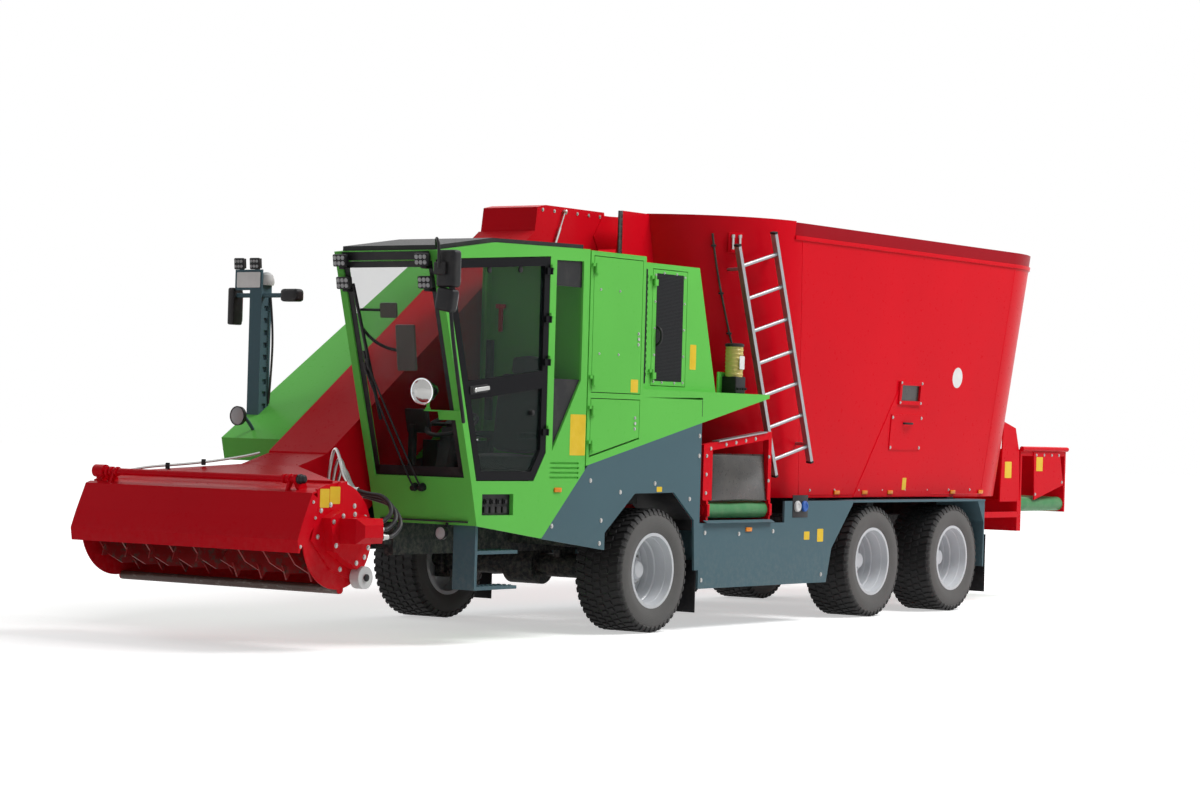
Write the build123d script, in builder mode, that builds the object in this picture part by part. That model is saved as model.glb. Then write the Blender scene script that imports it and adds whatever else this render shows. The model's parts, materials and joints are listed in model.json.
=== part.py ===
from build123d import *
import math
import os

# Driving dimensions in millimetres: widths from the machine's middle (left is +X),
# stations along the machine from the front axle (rearward is +Y), heights from the ground.
FRONT_AXLE_Y = -2000
MID_AXLE = 3487
TANDEM_SPACING = 1485
REAR_AXLE = MID_AXLE + TANDEM_SPACING
TANDEM_MIDDLE = (MID_AXLE + REAR_AXLE) / 2
TYRE_RADIUS = 490
TYRE_WIDTH = 450
WHEEL_X = 1012
KINGPIN_X = 880
SIDE_X = 1245
PANEL = 20

# Clearances: a shaft in its bore, a fixed pane in its frame, a moving piece beside a fixed one.
RUNNING_GAP = 0.3
SEAT_GAP = 0.3
MOVING_GAP = 6

# Door hinges: knuckle radius, height and distance off the face
HINGE_R = 10
HINGE = 50
HINGE_OUT = 17

# Chassis rails
RAIL_X = (320, 400)
RAIL_Z = (620, 855)
RAIL_Y = (-2250, 6900)
CRADLE_X = 760
ENGINE_FLOOR_Z = 1000

# Mixing tub: a round-ended shell, narrower at the floor than at the rim
TUB_MIDDLE = 4095
CHUTE_X = (-530, 430)
CHUTE_DEPTH = 750
TUB_FLOOR_Z = 1050
TUB_TOP_Z = 3390
RIM_DROP = 120
TUB_RIM_Z = TUB_TOP_Z - RIM_DROP
TUB_FLOOR_R = 1080
TUB_TOP_R = 1250
TUB_FLOOR_HALF = 1675
TUB_TOP_HALF = 1975
TUB_WALL = 10
RIM_FLANGE = 12
FLOOR_PLATE = 15
HIGH_FRONT_END = TUB_MIDDLE - 2095
AUGERS = (("front", TUB_MIDDLE - 1145), ("rear", TUB_MIDDLE + 1145))
AUGER_SEAT_R = 420
AUGER_SEAT = 25

# Intake arm: a straight channel climbing to the tub
ARM_X = (-300, 240)
ARM_MID_X = (ARM_X[0] + ARM_X[1]) / 2
ARM_SLOPE = 0.722
ARM_TOP_AT_AXLE = 3416
ARM_DEPTH = 764
ARM_FOLD = -2850
ARM_NOSE = -3165
ARM_WALL = 12
TOWER_X = ((320, 340), (-400, -380))
PIVOT = (250, 2950)
PIVOT_R = 40

# Milling head
HEAD_X = (-1190, 900)
DRUM_AXIS = (-3500, 800)
DRUM_TIP_R = 335
TROUGH_R = 360
TROUGH_WALL = 12
CHEEK = 20
COWL_HINGE = (-3745, 1192)
COWL_BAR_R = 24
ROLLER_AXIS = (-3300, 510)
ROLLER_R = 80
ROLLER_PIN_R = 20

# Cab
CAB_X = (300, 1245)
CAB_WALL = 50
CAB_FLOOR_Z = 870
CAB_REAR = -1010
CAB_SILL = (-2427, 1188)
CAB_BROW = (-2899, 2829)

# Grey skirt: its upper edge rises from a start point to the end of the front arch panel
SKIRT_START = (-966, 1318)
SKIRT_SLOPE = 0.219
SKIRT_END = 615
SKIRT_NOSE = (-1549, 766)

# Lift cylinder under the arm
LIFT_FOOT = (-450, 905)
LIFT_HEAD = (-520, 2110)
BARREL_LENGTH = 1010
ROD_LENGTH = 985

SIDE = Plane(origin=(0, FRONT_AXLE_Y, 0), x_dir=(0, 1, 0), z_dir=(1, 0, 0))
TOP = Plane(origin=(0, FRONT_AXLE_Y, 0), x_dir=(1, 0, 0), z_dir=(0, 0, 1))
BOTH_SIDES = (1, -1)
STEPS_PER_TURN = 12
BLADE = 12


def block(x, y, z, mode=Mode.ADD):
    """Adds a box between (low, high) pairs; y is a pair of stations."""
    centre = (sum(x) / 2, sum(y) / 2 + FRONT_AXLE_Y, sum(z) / 2)
    with Locations(centre):
        Box(abs(x[1] - x[0]), y[1] - y[0], z[1] - z[0], mode=mode)


def rod_x(radius, x, station, z, mode=Mode.ADD):
    """Adds a round bar across the machine."""
    with Locations(Location((sum(x) / 2, station + FRONT_AXLE_Y, z), (0, 90, 0))):
        Cylinder(radius, abs(x[1] - x[0]), mode=mode)


def rod_y(radius, x, y, z, mode=Mode.ADD):
    """Adds a round bar along the machine."""
    with Locations(Location((x, sum(y) / 2 + FRONT_AXLE_Y, z), (90, 0, 0))):
        Cylinder(radius, y[1] - y[0], mode=mode)


def rod_z(radius, x, station, z, mode=Mode.ADD):
    """Adds an upright round bar."""
    with Locations((x, station + FRONT_AXLE_Y, sum(z) / 2)):
        Cylinder(radius, z[1] - z[0], mode=mode)


def prism(outline, x, mode=Mode.ADD, grow=0):
    """Extrudes a side outline of (station, height) points between two widths."""
    with BuildSketch(SIDE.offset(min(x))) as section:
        with BuildLine():
            Polyline(*outline, close=True)
        make_face()
        if grow:
            offset(amount=grow, kind=Kind.INTERSECTION)
    extrude(section.sketch, amount=abs(x[1] - x[0]), mode=mode)


def tub_ring(z):
    """Radius and half the distance of the end centres of the tub's outside at a height."""
    t = (z - TUB_FLOOR_Z) / (TUB_TOP_Z - TUB_FLOOR_Z)
    radius = TUB_FLOOR_R + t * (TUB_TOP_R - TUB_FLOOR_R)
    half = TUB_FLOOR_HALF + t * (TUB_TOP_HALF - TUB_FLOOR_HALF)
    return radius, half


def tub_body(z_low, z_high, inset, mode=Mode.ADD):
    """Lofts the tub's outside, moved inwards, between two heights."""
    rings = []
    for z in (z_low, z_high):
        radius, half = tub_ring(z)
        with BuildSketch(TOP.offset(z)) as ring:
            with Locations((0, TUB_MIDDLE)):
                SlotCenterToCenter(2 * half, 2 * (radius - inset), rotation=90)
        rings.append(ring.sketch)
    loft(rings, mode=mode)


def tub_front(z):
    """Station of the tub's front wall at a height."""
    radius, half = tub_ring(z)
    return TUB_MIDDLE - half - radius


def spiral_flight(axis, inner, reach, start, pitch, length, thick, hand=1, phase=0):
    """Adds a winding flight of flat steps along a plane's normal; reach is its first and last radius."""
    steps = round(STEPS_PER_TURN * length / pitch)
    sections = []
    for step in range(steps + 1):
        angle = math.radians(phase) + hand * 2 * math.pi * step / STEPS_PER_TURN
        outward = axis.x_dir * math.cos(angle) + axis.y_dir * math.sin(angle)
        along = (axis.y_dir * math.cos(angle) - axis.x_dir * math.sin(angle)) * hand
        outer = reach[0] + (reach[1] - reach[0]) * step / steps
        origin = axis.origin + axis.z_dir * (start + pitch * step / STEPS_PER_TURN)
        with BuildSketch(Plane(origin=origin, x_dir=outward, z_dir=along)) as section:
            with Locations(((inner + outer) / 2, 0)):
                Rectangle(outer - inner, thick)
        sections.append(section.sketch)
    loft(sections, ruled=True)


def spiral_blades(axis, reach, start, pitch, length, size, spacing, hand=1, phase=0):
    """Adds flat three-cornered blades along the outer edge of a winding flight."""
    for step in range(1, round(STEPS_PER_TURN * length / pitch), spacing):
        share = step * pitch / (STEPS_PER_TURN * length)
        angle = math.radians(phase) + hand * 2 * math.pi * step / STEPS_PER_TURN
        outward = axis.x_dir * math.cos(angle) + axis.y_dir * math.sin(angle)
        edge = reach[0] + (reach[1] - reach[0]) * share
        origin = axis.origin + axis.z_dir * (start + pitch * step / STEPS_PER_TURN) + outward * edge
        with BuildSketch(Plane(origin=origin, x_dir=outward, z_dir=axis.z_dir)) as blade:
            with BuildLine():
                Polyline((-size[0], -size[1]), (-size[0], size[1]), (size[0], 0.3 * size[1]), close=True)
            make_face()
        extrude(blade.sketch, amount=BLADE / 2, both=True)


def screen_y(z):
    """Station of the cab's leaning front at a height."""
    lean = (CAB_BROW[0] - CAB_SILL[0]) / (CAB_BROW[1] - CAB_SILL[1])
    return CAB_SILL[0] + lean * (z - CAB_SILL[1])


def skirt_top(station):
    """Height of the rising line where grey skirt meets green bodywork."""
    return SKIRT_START[1] + SKIRT_SLOPE * (station - SKIRT_START[0])


def hinge_half(face, station, reach, z, fixed=False):
    """Adds one knuckle and leaf of a hinge standing off a side face; the fixed half sits on top."""
    low, high = (z + HINGE / 2 + RUNNING_GAP, z + HINGE) if fixed else (z - HINGE / 2, z + HINGE / 2)
    leaf = sorted((station, station + reach))
    block((face - 2, face + HINGE_OUT), leaf, (low, high))
    rod_z(HINGE_R, face + HINGE_OUT, station, (low, high))


def arm_top(station):
    return ARM_TOP_AT_AXLE + ARM_SLOPE * station


def arm_bottom(station):
    return arm_top(station) - ARM_DEPTH


os.makedirs("parts", exist_ok=True)

# Chassis: two rails, cross members, tub cradles, outriggers and the arm's tower
with BuildPart() as chassis_frame:
    for side in BOTH_SIDES:
        block([side * x for x in RAIL_X], RAIL_Y, RAIL_Z)
        block((side * RAIL_X[1], side * (SIDE_X - PANEL)), (-825, -775), (690, 790))
        for station in (SKIRT_END + 385, MID_AXLE - 1187):
            block((side * RAIL_X[1], side * 820), (station - 40, station + 40), (690, 790))
        for station in (TUB_MIDDLE - TUB_FLOOR_HALF, TANDEM_MIDDLE, TUB_MIDDLE + TUB_FLOOR_HALF):
            block((0, side * CRADLE_X), (station - 60, station + 60), (RAIL_Z[1], TUB_FLOOR_Z))
    for station in (-1650, -450, 620, 2000, TANDEM_MIDDLE, RAIL_Y[1] - 100):
        block((-RAIL_X[0], RAIL_X[0]), (station - 60, station + 60), (RAIL_Z[0] + 20, RAIL_Z[1] - 35))
    for side in BOTH_SIDES:
        block((side * 330, side * 390), (-2340, -2250), (700, 730))
        rod_z(20, side * 360, -2300, (690, 740), mode=Mode.SUBTRACT)
    for station in (-700, 100):
        block((345, 480), (station - 50, station + 50), (RAIL_Z[1], ENGINE_FLOOR_Z))
    for station in (-2100, -1150):
        block(RAIL_X, (station - 50, station + 50), (RAIL_Z[1], CAB_FLOOR_Z))
    for x in ((ARM_MID_X + 32, ARM_MID_X + 47), (ARM_MID_X - 47, ARM_MID_X - 32)):
        prism([(-500, 820), (-400, 820), (-415, 930), (-485, 930)], x)
    rod_x(25, (ARM_MID_X - 47, ARM_MID_X + 47), *LIFT_FOOT)
chassis_frame.part.label = "chassis_frame"
export_step(chassis_frame.part, "parts/chassis_frame.step")

# Towers that carry the arm's pivot, one plate on each rail
with BuildPart() as arm_towers:
    for x in TOWER_X:
        prism([(PIVOT[0] - 400, RAIL_Z[1]), (PIVOT[0] + 310, RAIL_Z[1]), (PIVOT[0] + 80, PIVOT[1]),
               (PIVOT[0] - 80, PIVOT[1])], x)
        rod_x(85, x, *PIVOT)
        rod_x(PIVOT_R + RUNNING_GAP, x, *PIVOT, mode=Mode.SUBTRACT)
arm_towers.part.label = "arm_towers"
export_step(arm_towers.part, "parts/arm_towers.step")

# Axles: the front one ends in forks with kingpins, the rear two in stubs
with BuildPart() as axles:
    rod_x(95, (-775, 775), 0, TYRE_RADIUS)
    rod_x(160, (-150, 150), 0, TYRE_RADIUS)
    for side in BOTH_SIDES:
        block((side * 330, side * 390), (-110, 110), (560, RAIL_Z[0]))
        block((side * 755, side * 790), (-45, 45), (340, 640))
        for z in ((340, 375), (605, 640)):
            block((side * 785, side * 915), (-45, 45), z)
        rod_z(28, side * KINGPIN_X, 0, (345, 635))
    for station in (MID_AXLE, REAR_AXLE):
        rod_x(90, (-925, 925), station, TYRE_RADIUS)
        rod_x(60, (-WHEEL_X - 15, WHEEL_X + 15), station, TYRE_RADIUS)
        for side in BOTH_SIDES:
            block((side * 330, side * 390), (station - 110, station + 110), (560, RAIL_Z[0]))
axles.part.label = "axles"
export_step(axles.part, "parts/axles.step")

# Steering knuckles
for name, side in (("left", 1), ("right", -1)):
    with BuildPart() as knuckle:
        rod_z(55, side * KINGPIN_X, 0, (376, 604))
        rod_x(60, (side * KINGPIN_X, side * (WHEEL_X + 15)), 0, TYRE_RADIUS)
        rod_z(28 + RUNNING_GAP, side * KINGPIN_X, 0, (300, 700), mode=Mode.SUBTRACT)
    knuckle.part.label = f"knuckle_{name}"
    export_step(knuckle.part, f"parts/knuckle_{name}.step")

# Wheels: a tyre on a deep-dished rim, six times
BEAD_R = 286
TYRE_SECTION = [(-190, BEAD_R), (190, BEAD_R), (TYRE_WIDTH / 2, 430), (190, TYRE_RADIUS),
                (-190, TYRE_RADIUS), (-TYRE_WIDTH / 2, 430)]
RIM_SECTION = [(-70, 60.3), (-70, 268), (-205, 268), (-205, 298), (-197, 298), (-197, BEAD_R - SEAT_GAP),
               (197, BEAD_R - SEAT_GAP), (197, 298), (207, 298), (207, 274), (120, 262), (-52, 256),
               (-52, 125), (25, 105), (25, 0), (18, 0), (18, 60.3)]
for axle, station in (("front", 0), ("mid", MID_AXLE), ("rear", REAR_AXLE)):
    for hand, side in (("left", 1), ("right", -1)):
        centre = (side * WHEEL_X, station + FRONT_AXLE_Y, TYRE_RADIUS)
        wheel_plane = Plane(origin=centre, x_dir=(side, 0, 0), z_dir=(0, -side, 0))
        for piece, section in (("tyre", TYRE_SECTION), ("rim", RIM_SECTION)):
            with BuildPart() as ring:
                with BuildSketch(wheel_plane):
                    with BuildLine():
                        Polyline(*section, close=True)
                    make_face()
                revolve(axis=Axis(centre, (1, 0, 0)))
            ring.part.label = f"{piece}_{axle}_{hand}"
            export_step(ring.part, f"parts/{piece}_{axle}_{hand}.step")

# Mixing tub with the intake notch, and the hatch and sight opening on its left flank
LEAN = math.atan2(TUB_TOP_R - TUB_FLOOR_R, TUB_TOP_Z - TUB_FLOOR_Z)
FLANK = Plane(origin=(TUB_FLOOR_R, TUB_MIDDLE + FRONT_AXLE_Y, TUB_FLOOR_Z), x_dir=(0, 1, 0),
              z_dir=(math.cos(LEAN), 0, -math.sin(LEAN)))
BEYOND = 400
with BuildPart() as mixing_tub:
    tub_body(TUB_RIM_Z - 35, TUB_RIM_Z, -RIM_FLANGE)
    block((-TUB_TOP_R - BEYOND, TUB_TOP_R + BEYOND), (tub_front(TUB_TOP_Z) - BEYOND, HIGH_FRONT_END),
          (TUB_RIM_Z - BEYOND, TUB_TOP_Z), mode=Mode.SUBTRACT)
    tub_body(TUB_FLOOR_Z, TUB_TOP_Z, 0)
    tub_body(TUB_FLOOR_Z + FLOOR_PLATE, TUB_TOP_Z + 50, TUB_WALL, mode=Mode.SUBTRACT)
    block((-TUB_TOP_R - BEYOND, TUB_TOP_R + BEYOND), (HIGH_FRONT_END, TUB_MIDDLE + 2 * TUB_TOP_HALF),
          (TUB_RIM_Z, TUB_TOP_Z + BEYOND), mode=Mode.SUBTRACT)
    block(CHUTE_X, (tub_front(TUB_TOP_Z) - BEYOND, tub_front(TUB_TOP_Z) + 630),
          (TUB_TOP_Z - CHUTE_DEPTH + 60, TUB_TOP_Z + BEYOND), mode=Mode.SUBTRACT)
    for name, station in AUGERS:
        rod_z(AUGER_SEAT_R, 0, station, (TUB_FLOOR_Z + 10, TUB_FLOOR_Z + FLOOR_PLATE + AUGER_SEAT))
    with BuildSketch(FLANK) as fold:
        with BuildLine():
            Polyline((-745, 5), (705, 5), (-45, 1050), close=True)
        make_face()
    extrude(fold.sketch, amount=6)
    with BuildSketch(FLANK) as hatch:
        with Locations((90, 590)):
            Rectangle(570, 320)
    extrude(hatch.sketch, amount=14)
    with BuildSketch(FLANK) as sight_frame:
        with Locations((115, 945)):
            Rectangle(420, 210)
            Rectangle(340, 140, mode=Mode.SUBTRACT)
    extrude(sight_frame.sketch, amount=20)
    with BuildSketch(FLANK.offset(-2 * TUB_WALL)) as sight:
        with Locations((115, 945)):
            Rectangle(340, 140)
    extrude(sight.sketch, amount=4 * TUB_WALL, mode=Mode.SUBTRACT)
mixing_tub.part.label = "mixing_tub"
export_step(mixing_tub.part, "parts/mixing_tub.step")

# Black rubber behind the sight opening
with BuildPart() as sight_rubber:
    with BuildSketch(FLANK.offset(-TUB_WALL)) as rubber:
        with Locations((115, 945)):
            Rectangle(340 - 2 * SEAT_GAP, 140 - 2 * SEAT_GAP)
    extrude(rubber.sketch, amount=TUB_WALL)
sight_rubber.part.label = "sight_rubber"
export_step(sight_rubber.part, "parts/sight_rubber.step")

# Extension band standing on the tub's rim, behind the higher front wall
EXTENSION_WALL = 12
with BuildPart() as tub_extension:
    tub_body(TUB_RIM_Z, TUB_TOP_Z - 10, 2)
    tub_body(TUB_RIM_Z - 5, TUB_TOP_Z, 2 + EXTENSION_WALL, mode=Mode.SUBTRACT)
    block((-TUB_TOP_R - BEYOND, TUB_TOP_R + BEYOND), (tub_front(TUB_TOP_Z) - BEYOND, HIGH_FRONT_END + SEAT_GAP),
          (TUB_RIM_Z - BEYOND, TUB_TOP_Z + BEYOND), mode=Mode.SUBTRACT)
tub_extension.part.label = "tub_extension"
export_step(tub_extension.part, "parts/tub_extension.step")

# Vertical augers, each on its own seat over the floor
AUGER_BASE = TUB_FLOOR_Z + FLOOR_PLATE + AUGER_SEAT + RUNNING_GAP
AUGER_REACH = (980, 400)
AUGER_PITCH = 480
AUGER_HEIGHT = 1300
for name, station in AUGERS:
    auger_axis = Plane(origin=(0, station + FRONT_AXLE_Y, AUGER_BASE), x_dir=(1, 0, 0), z_dir=(0, 0, 1))
    with BuildPart() as auger:
        rod_z(180, 0, station, (AUGER_BASE, AUGER_BASE + AUGER_HEIGHT + 140))
        rod_z(700, 0, station, (AUGER_BASE, AUGER_BASE + 25))
        spiral_flight(auger_axis, 160, AUGER_REACH, 20, AUGER_PITCH, AUGER_HEIGHT, 18)
        spiral_blades(auger_axis, AUGER_REACH, 20, AUGER_PITCH, AUGER_HEIGHT, (60, 110), 4)
    auger.part.label = f"auger_{name}"
    export_step(auger.part, f"parts/auger_{name}.step")

# Intake chute between arm and tub
CHUTE_WALL = 20
CHUTE_BACK = tub_front(TUB_TOP_Z) + 430
CHUTE_FOOT = TUB_TOP_Z - CHUTE_DEPTH
with BuildPart() as intake_chute:
    for x in ((CHUTE_X[1], CHUTE_X[1] + CHUTE_WALL), (CHUTE_X[0] - CHUTE_WALL, CHUTE_X[0])):
        prism([(CHUTE_BACK - 580, CHUTE_FOOT), (CHUTE_BACK, CHUTE_FOOT), (CHUTE_BACK, TUB_TOP_Z - 5),
               (CHUTE_BACK - 740, TUB_TOP_Z - 5), (CHUTE_BACK - 800, TUB_TOP_Z - 380),
               (CHUTE_BACK - 740, TUB_TOP_Z - 460), (CHUTE_BACK - 580, TUB_TOP_Z - 460)], x)
    block((CHUTE_X[0] - CHUTE_WALL / 2, CHUTE_X[1] + CHUTE_WALL / 2), (CHUTE_BACK - 580, CHUTE_BACK),
          (CHUTE_FOOT, CHUTE_FOOT + CHUTE_WALL))
    tub_body(TUB_FLOOR_Z, TUB_TOP_Z + 20, 0, mode=Mode.SUBTRACT)
intake_chute.part.label = "intake_chute"
export_step(intake_chute.part, "parts/intake_chute.step")

# Discharge conveyors: one to the left behind the front wheel, one across the rear
BELT_Z = (890, 1030)
BELT_R = (BELT_Z[1] - BELT_Z[0]) / 2
BELT_MIDDLE_Z = sum(BELT_Z) / 2
FRAME_PLATE = 30
SIDE_BELT_X = (500, 1130)
SIDE_BELT_Y = (800, 1730)
SIDE_FRAME_X = 1205
REAR_BELT_X = 820
REAR_BELT_Y = (RAIL_Y[1] + 85, 7930)
REAR_FRAME_X = 900
with BuildPart() as conveyor_frames:
    for y in ((SIDE_BELT_Y[0] - FRAME_PLATE, SIDE_BELT_Y[0]), (SIDE_BELT_Y[1], SIDE_BELT_Y[1] + FRAME_PLATE)):
        block((RAIL_X[1], SIDE_FRAME_X), y, (BELT_Z[0] - 28, BELT_Z[1] + 14))
        block((RAIL_X[1], RAIL_X[1] + 40), y, (RAIL_Z[0] + 80, BELT_Z[1] + 14))
    block((SIDE_FRAME_X - 55, SIDE_FRAME_X), (SIDE_BELT_Y[0] - 85, SIDE_BELT_Y[0] + 50), (BELT_Z[1] + 10, 1490))
    block((SIDE_FRAME_X - 55, SIDE_FRAME_X), (SIDE_BELT_Y[1] - 20, SIDE_BELT_Y[1] + FRAME_PLATE),
          (BELT_Z[1] + 10, 1590))
    prism([(SIDE_BELT_Y[0] - 85, 1430), (SIDE_BELT_Y[1] + FRAME_PLATE, 1550),
           (SIDE_BELT_Y[1] + FRAME_PLATE, 1610), (SIDE_BELT_Y[0] - 85, 1490)], (SIDE_FRAME_X - 55, SIDE_FRAME_X))
    block((-REAR_FRAME_X, REAR_FRAME_X), (RAIL_Y[1], REAR_BELT_Y[0]), (RAIL_Z[0] + 80, BELT_Z[1] - 30))
    for y in ((REAR_BELT_Y[0] - FRAME_PLATE, REAR_BELT_Y[0]), (REAR_BELT_Y[1], REAR_BELT_Y[1] + FRAME_PLATE)):
        block((-REAR_FRAME_X, REAR_FRAME_X), y, (BELT_Z[0] - 10, 1500))
    for side in BOTH_SIDES:
        block((side * (REAR_FRAME_X - 40), side * REAR_FRAME_X), (REAR_BELT_Y[0] - 25, REAR_BELT_Y[1] + 20),
              (1440, 1500))
        rod_y(24, side * (REAR_FRAME_X + 10), (REAR_BELT_Y[0] - 30, REAR_BELT_Y[1] + FRAME_PLATE), 1510)
        prism([(7225, 1480), (7800, 1480), (7897, 1152), (7250, 1004)],
              (side * (REAR_FRAME_X - 2), side * (REAR_FRAME_X + 10)))
        prism([(6540, 990), (REAR_BELT_Y[0] - 25, 990), (6930, 1481), (6845, 1709), (6591, 1771)],
              (side * (REAR_FRAME_X - 20), side * (REAR_FRAME_X - 5)))
        block((side * (REAR_FRAME_X - 40), side * REAR_FRAME_X), (6100, REAR_BELT_Y[0]), (835, 890))
    tub_body(TUB_FLOOR_Z, TUB_TOP_Z, -RIM_FLANGE, mode=Mode.SUBTRACT)
conveyor_frames.part.label = "conveyor_frames"
export_step(conveyor_frames.part, "parts/conveyor_frames.step")

with BuildPart() as conveyor_belts:
    block(SIDE_BELT_X, SIDE_BELT_Y, BELT_Z)
    for x in SIDE_BELT_X:
        rod_y(BELT_R, x, SIDE_BELT_Y, BELT_MIDDLE_Z)
    block((-REAR_BELT_X, REAR_BELT_X), REAR_BELT_Y, BELT_Z)
    for side in BOTH_SIDES:
        rod_y(BELT_R, side * REAR_BELT_X, REAR_BELT_Y, BELT_MIDDLE_Z)
conveyor_belts.part.label = "conveyor_belts"
export_step(conveyor_belts.part, "parts/conveyor_belts.step")

# Bulging rubber sheet that closes the side discharge
CURTAIN_ENDS = (SIDE_BELT_Y[0] + 50 + SEAT_GAP, SIDE_BELT_Y[1] - 20 - SEAT_GAP)
with BuildPart() as discharge_curtain:
    with BuildSketch(TOP.offset(BELT_Z[1] + SEAT_GAP)) as bow:
        with BuildLine():
            ThreePointArc((SIDE_FRAME_X - 50, CURTAIN_ENDS[0]), (SIDE_FRAME_X + 30, sum(CURTAIN_ENDS) / 2),
                          (SIDE_FRAME_X - 50, CURTAIN_ENDS[1]))
            ThreePointArc((SIDE_FRAME_X - 50, CURTAIN_ENDS[1]), (SIDE_FRAME_X + 20, sum(CURTAIN_ENDS) / 2),
                          (SIDE_FRAME_X - 50, CURTAIN_ENDS[0]))
        make_face()
    extrude(bow.sketch, amount=390)
discharge_curtain.part.label = "discharge_curtain"
export_step(discharge_curtain.part, "parts/discharge_curtain.step")

# Cab shell: hollow, open at windscreen, door and side windows
CAB_OUTER = [(-2347, CAB_FLOOR_Z), CAB_SILL, CAB_BROW, (-2200, 2930), (CAB_REAR, 2956), (CAB_REAR, CAB_FLOOR_Z)]
CAB_INNER = [(-2290, 920), (-2370, 1190), (-2838, 2775), (-2190, 2872), (CAB_REAR - CAB_WALL, 2895),
             (CAB_REAR - CAB_WALL, 920)]
DOOR_OUTLINE = [(screen_y(1195) + 62, 1195), (-1665, 1195), (-1520, 1405), (-1520, 2872),
                (screen_y(2775) + 75, 2775)]
QUARTER_OUTLINE = [(-1440, 1420), (-1090, 1960), (-1090, 2860), (-1440, 2850)]
RIGHT_OUTLINE = [(screen_y(1250) + 90, 1250), (-1110, 1250), (-1110, 2840), (screen_y(2760) + 90, 2760)]
SCREEN_X = (CAB_X[0] + 60, CAB_X[1] - 60)
SCREEN_Z = (1215, 2760)
DOOR_HINGES = (1560, 2080, 2400, 2760)
with BuildPart() as cab_shell:
    prism(CAB_OUTER, CAB_X)
    prism(CAB_INNER, (CAB_X[0] + CAB_WALL, CAB_X[1] - CAB_WALL), mode=Mode.SUBTRACT)
    prism([(-2347, 870), (-1549, 769), (-1200, 870), (-1200, 900), (-2340, 900)], (SIDE_X - PANEL, SIDE_X))
    prism([SKIRT_NOSE, SKIRT_START, (-900, SKIRT_START[1]), (-900, 700), (SKIRT_NOSE[0], 700)],
          (SIDE_X - PANEL, SIDE_X + 5), mode=Mode.SUBTRACT)
    prism(DOOR_OUTLINE, (CAB_X[1] - 60, CAB_X[1] + 10), mode=Mode.SUBTRACT)
    prism(QUARTER_OUTLINE, (CAB_X[1] - 60, CAB_X[1] + 10), mode=Mode.SUBTRACT)
    prism(RIGHT_OUTLINE, (CAB_X[0] - 10, CAB_X[0] + 60), mode=Mode.SUBTRACT)
    prism([(screen_y(SCREEN_Z[0]) - 80, SCREEN_Z[0]), (screen_y(SCREEN_Z[0]) + 120, SCREEN_Z[0]),
           (screen_y(SCREEN_Z[1]) + 120, SCREEN_Z[1]), (screen_y(SCREEN_Z[1]) - 80, SCREEN_Z[1])],
          SCREEN_X, mode=Mode.SUBTRACT)
    block((SIDE_X - 35, SIDE_X + 5), (-2290, -1910), (945, 1100), mode=Mode.SUBTRACT)
    for row in range(4):
        block((SIDE_X - 10, SIDE_X + 5), (-1460, -1090), (1215 + 36 * row, 1230 + 36 * row), mode=Mode.SUBTRACT)
    for z in DOOR_HINGES:
        hinge_half(SIDE_X, -1520 - MOVING_GAP, 60, z, fixed=True)
cab_shell.part.label = "cab_shell"
export_step(cab_shell.part, "parts/cab_shell.step")

# Dark roof cap, set in from the edges
ROOF = [(CAB_BROW[0] + 50, CAB_BROW[1] + 7), (-2200, 2930), (CAB_REAR - 40, 2955)]
with BuildPart() as cab_roof:
    prism(ROOF + [(station, z + 34) for station, z in ROOF[::-1]], (CAB_X[0] + 40, CAB_X[1] - 40))
    prism(CAB_OUTER, CAB_X, mode=Mode.SUBTRACT, grow=SEAT_GAP)
cab_roof.part.label = "cab_roof"
export_step(cab_roof.part, "parts/cab_roof.step")

GLASS = 8
with BuildPart() as cab_glass:
    z_low, z_high = SCREEN_Z[0] + SEAT_GAP, SCREEN_Z[1] - SEAT_GAP
    prism([(screen_y(z_low) + 15, z_low), (screen_y(z_low) + 15 + GLASS, z_low),
           (screen_y(z_high) + 15 + GLASS, z_high), (screen_y(z_high) + 15, z_high)],
          (SCREEN_X[0] + SEAT_GAP, SCREEN_X[1] - SEAT_GAP))
    prism(QUARTER_OUTLINE, (CAB_X[1] - 25, CAB_X[1] - 25 + GLASS), grow=-SEAT_GAP)
    prism(RIGHT_OUTLINE, (CAB_X[0] + 20, CAB_X[0] + 20 + GLASS), grow=-SEAT_GAP)
cab_glass.part.label = "cab_glass"
export_step(cab_glass.part, "parts/cab_glass.step")

# Cab door: a frame with a slanting cross band, and its two panes
DOOR_X = (SIDE_X - 40, SIDE_X)
DOOR_FRAME = 65
BAND = [(screen_y(1775) + 90, 1775), (-1550, 1890), (-1550, 2020), (screen_y(1905) + 90, 1905)]
with BuildPart() as cab_door:
    prism(DOOR_OUTLINE, DOOR_X, grow=-MOVING_GAP)
    prism(DOOR_OUTLINE, DOOR_X, grow=-MOVING_GAP - DOOR_FRAME, mode=Mode.SUBTRACT)
    prism(BAND, DOOR_X)
    for z in DOOR_HINGES:
        hinge_half(SIDE_X, -1520 - MOVING_GAP, -55, z)
cab_door.part.label = "cab_door"
export_step(cab_door.part, "parts/cab_door.step")

with BuildPart() as cab_door_glass:
    prism(DOOR_OUTLINE, (SIDE_X - 25, SIDE_X - 25 + GLASS), grow=-MOVING_GAP - DOOR_FRAME - SEAT_GAP)
    prism(BAND, (SIDE_X - 60, SIDE_X), mode=Mode.SUBTRACT, grow=SEAT_GAP)
cab_door_glass.part.label = "cab_door_glass"
export_step(cab_door_glass.part, "parts/cab_door_glass.step")

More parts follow.
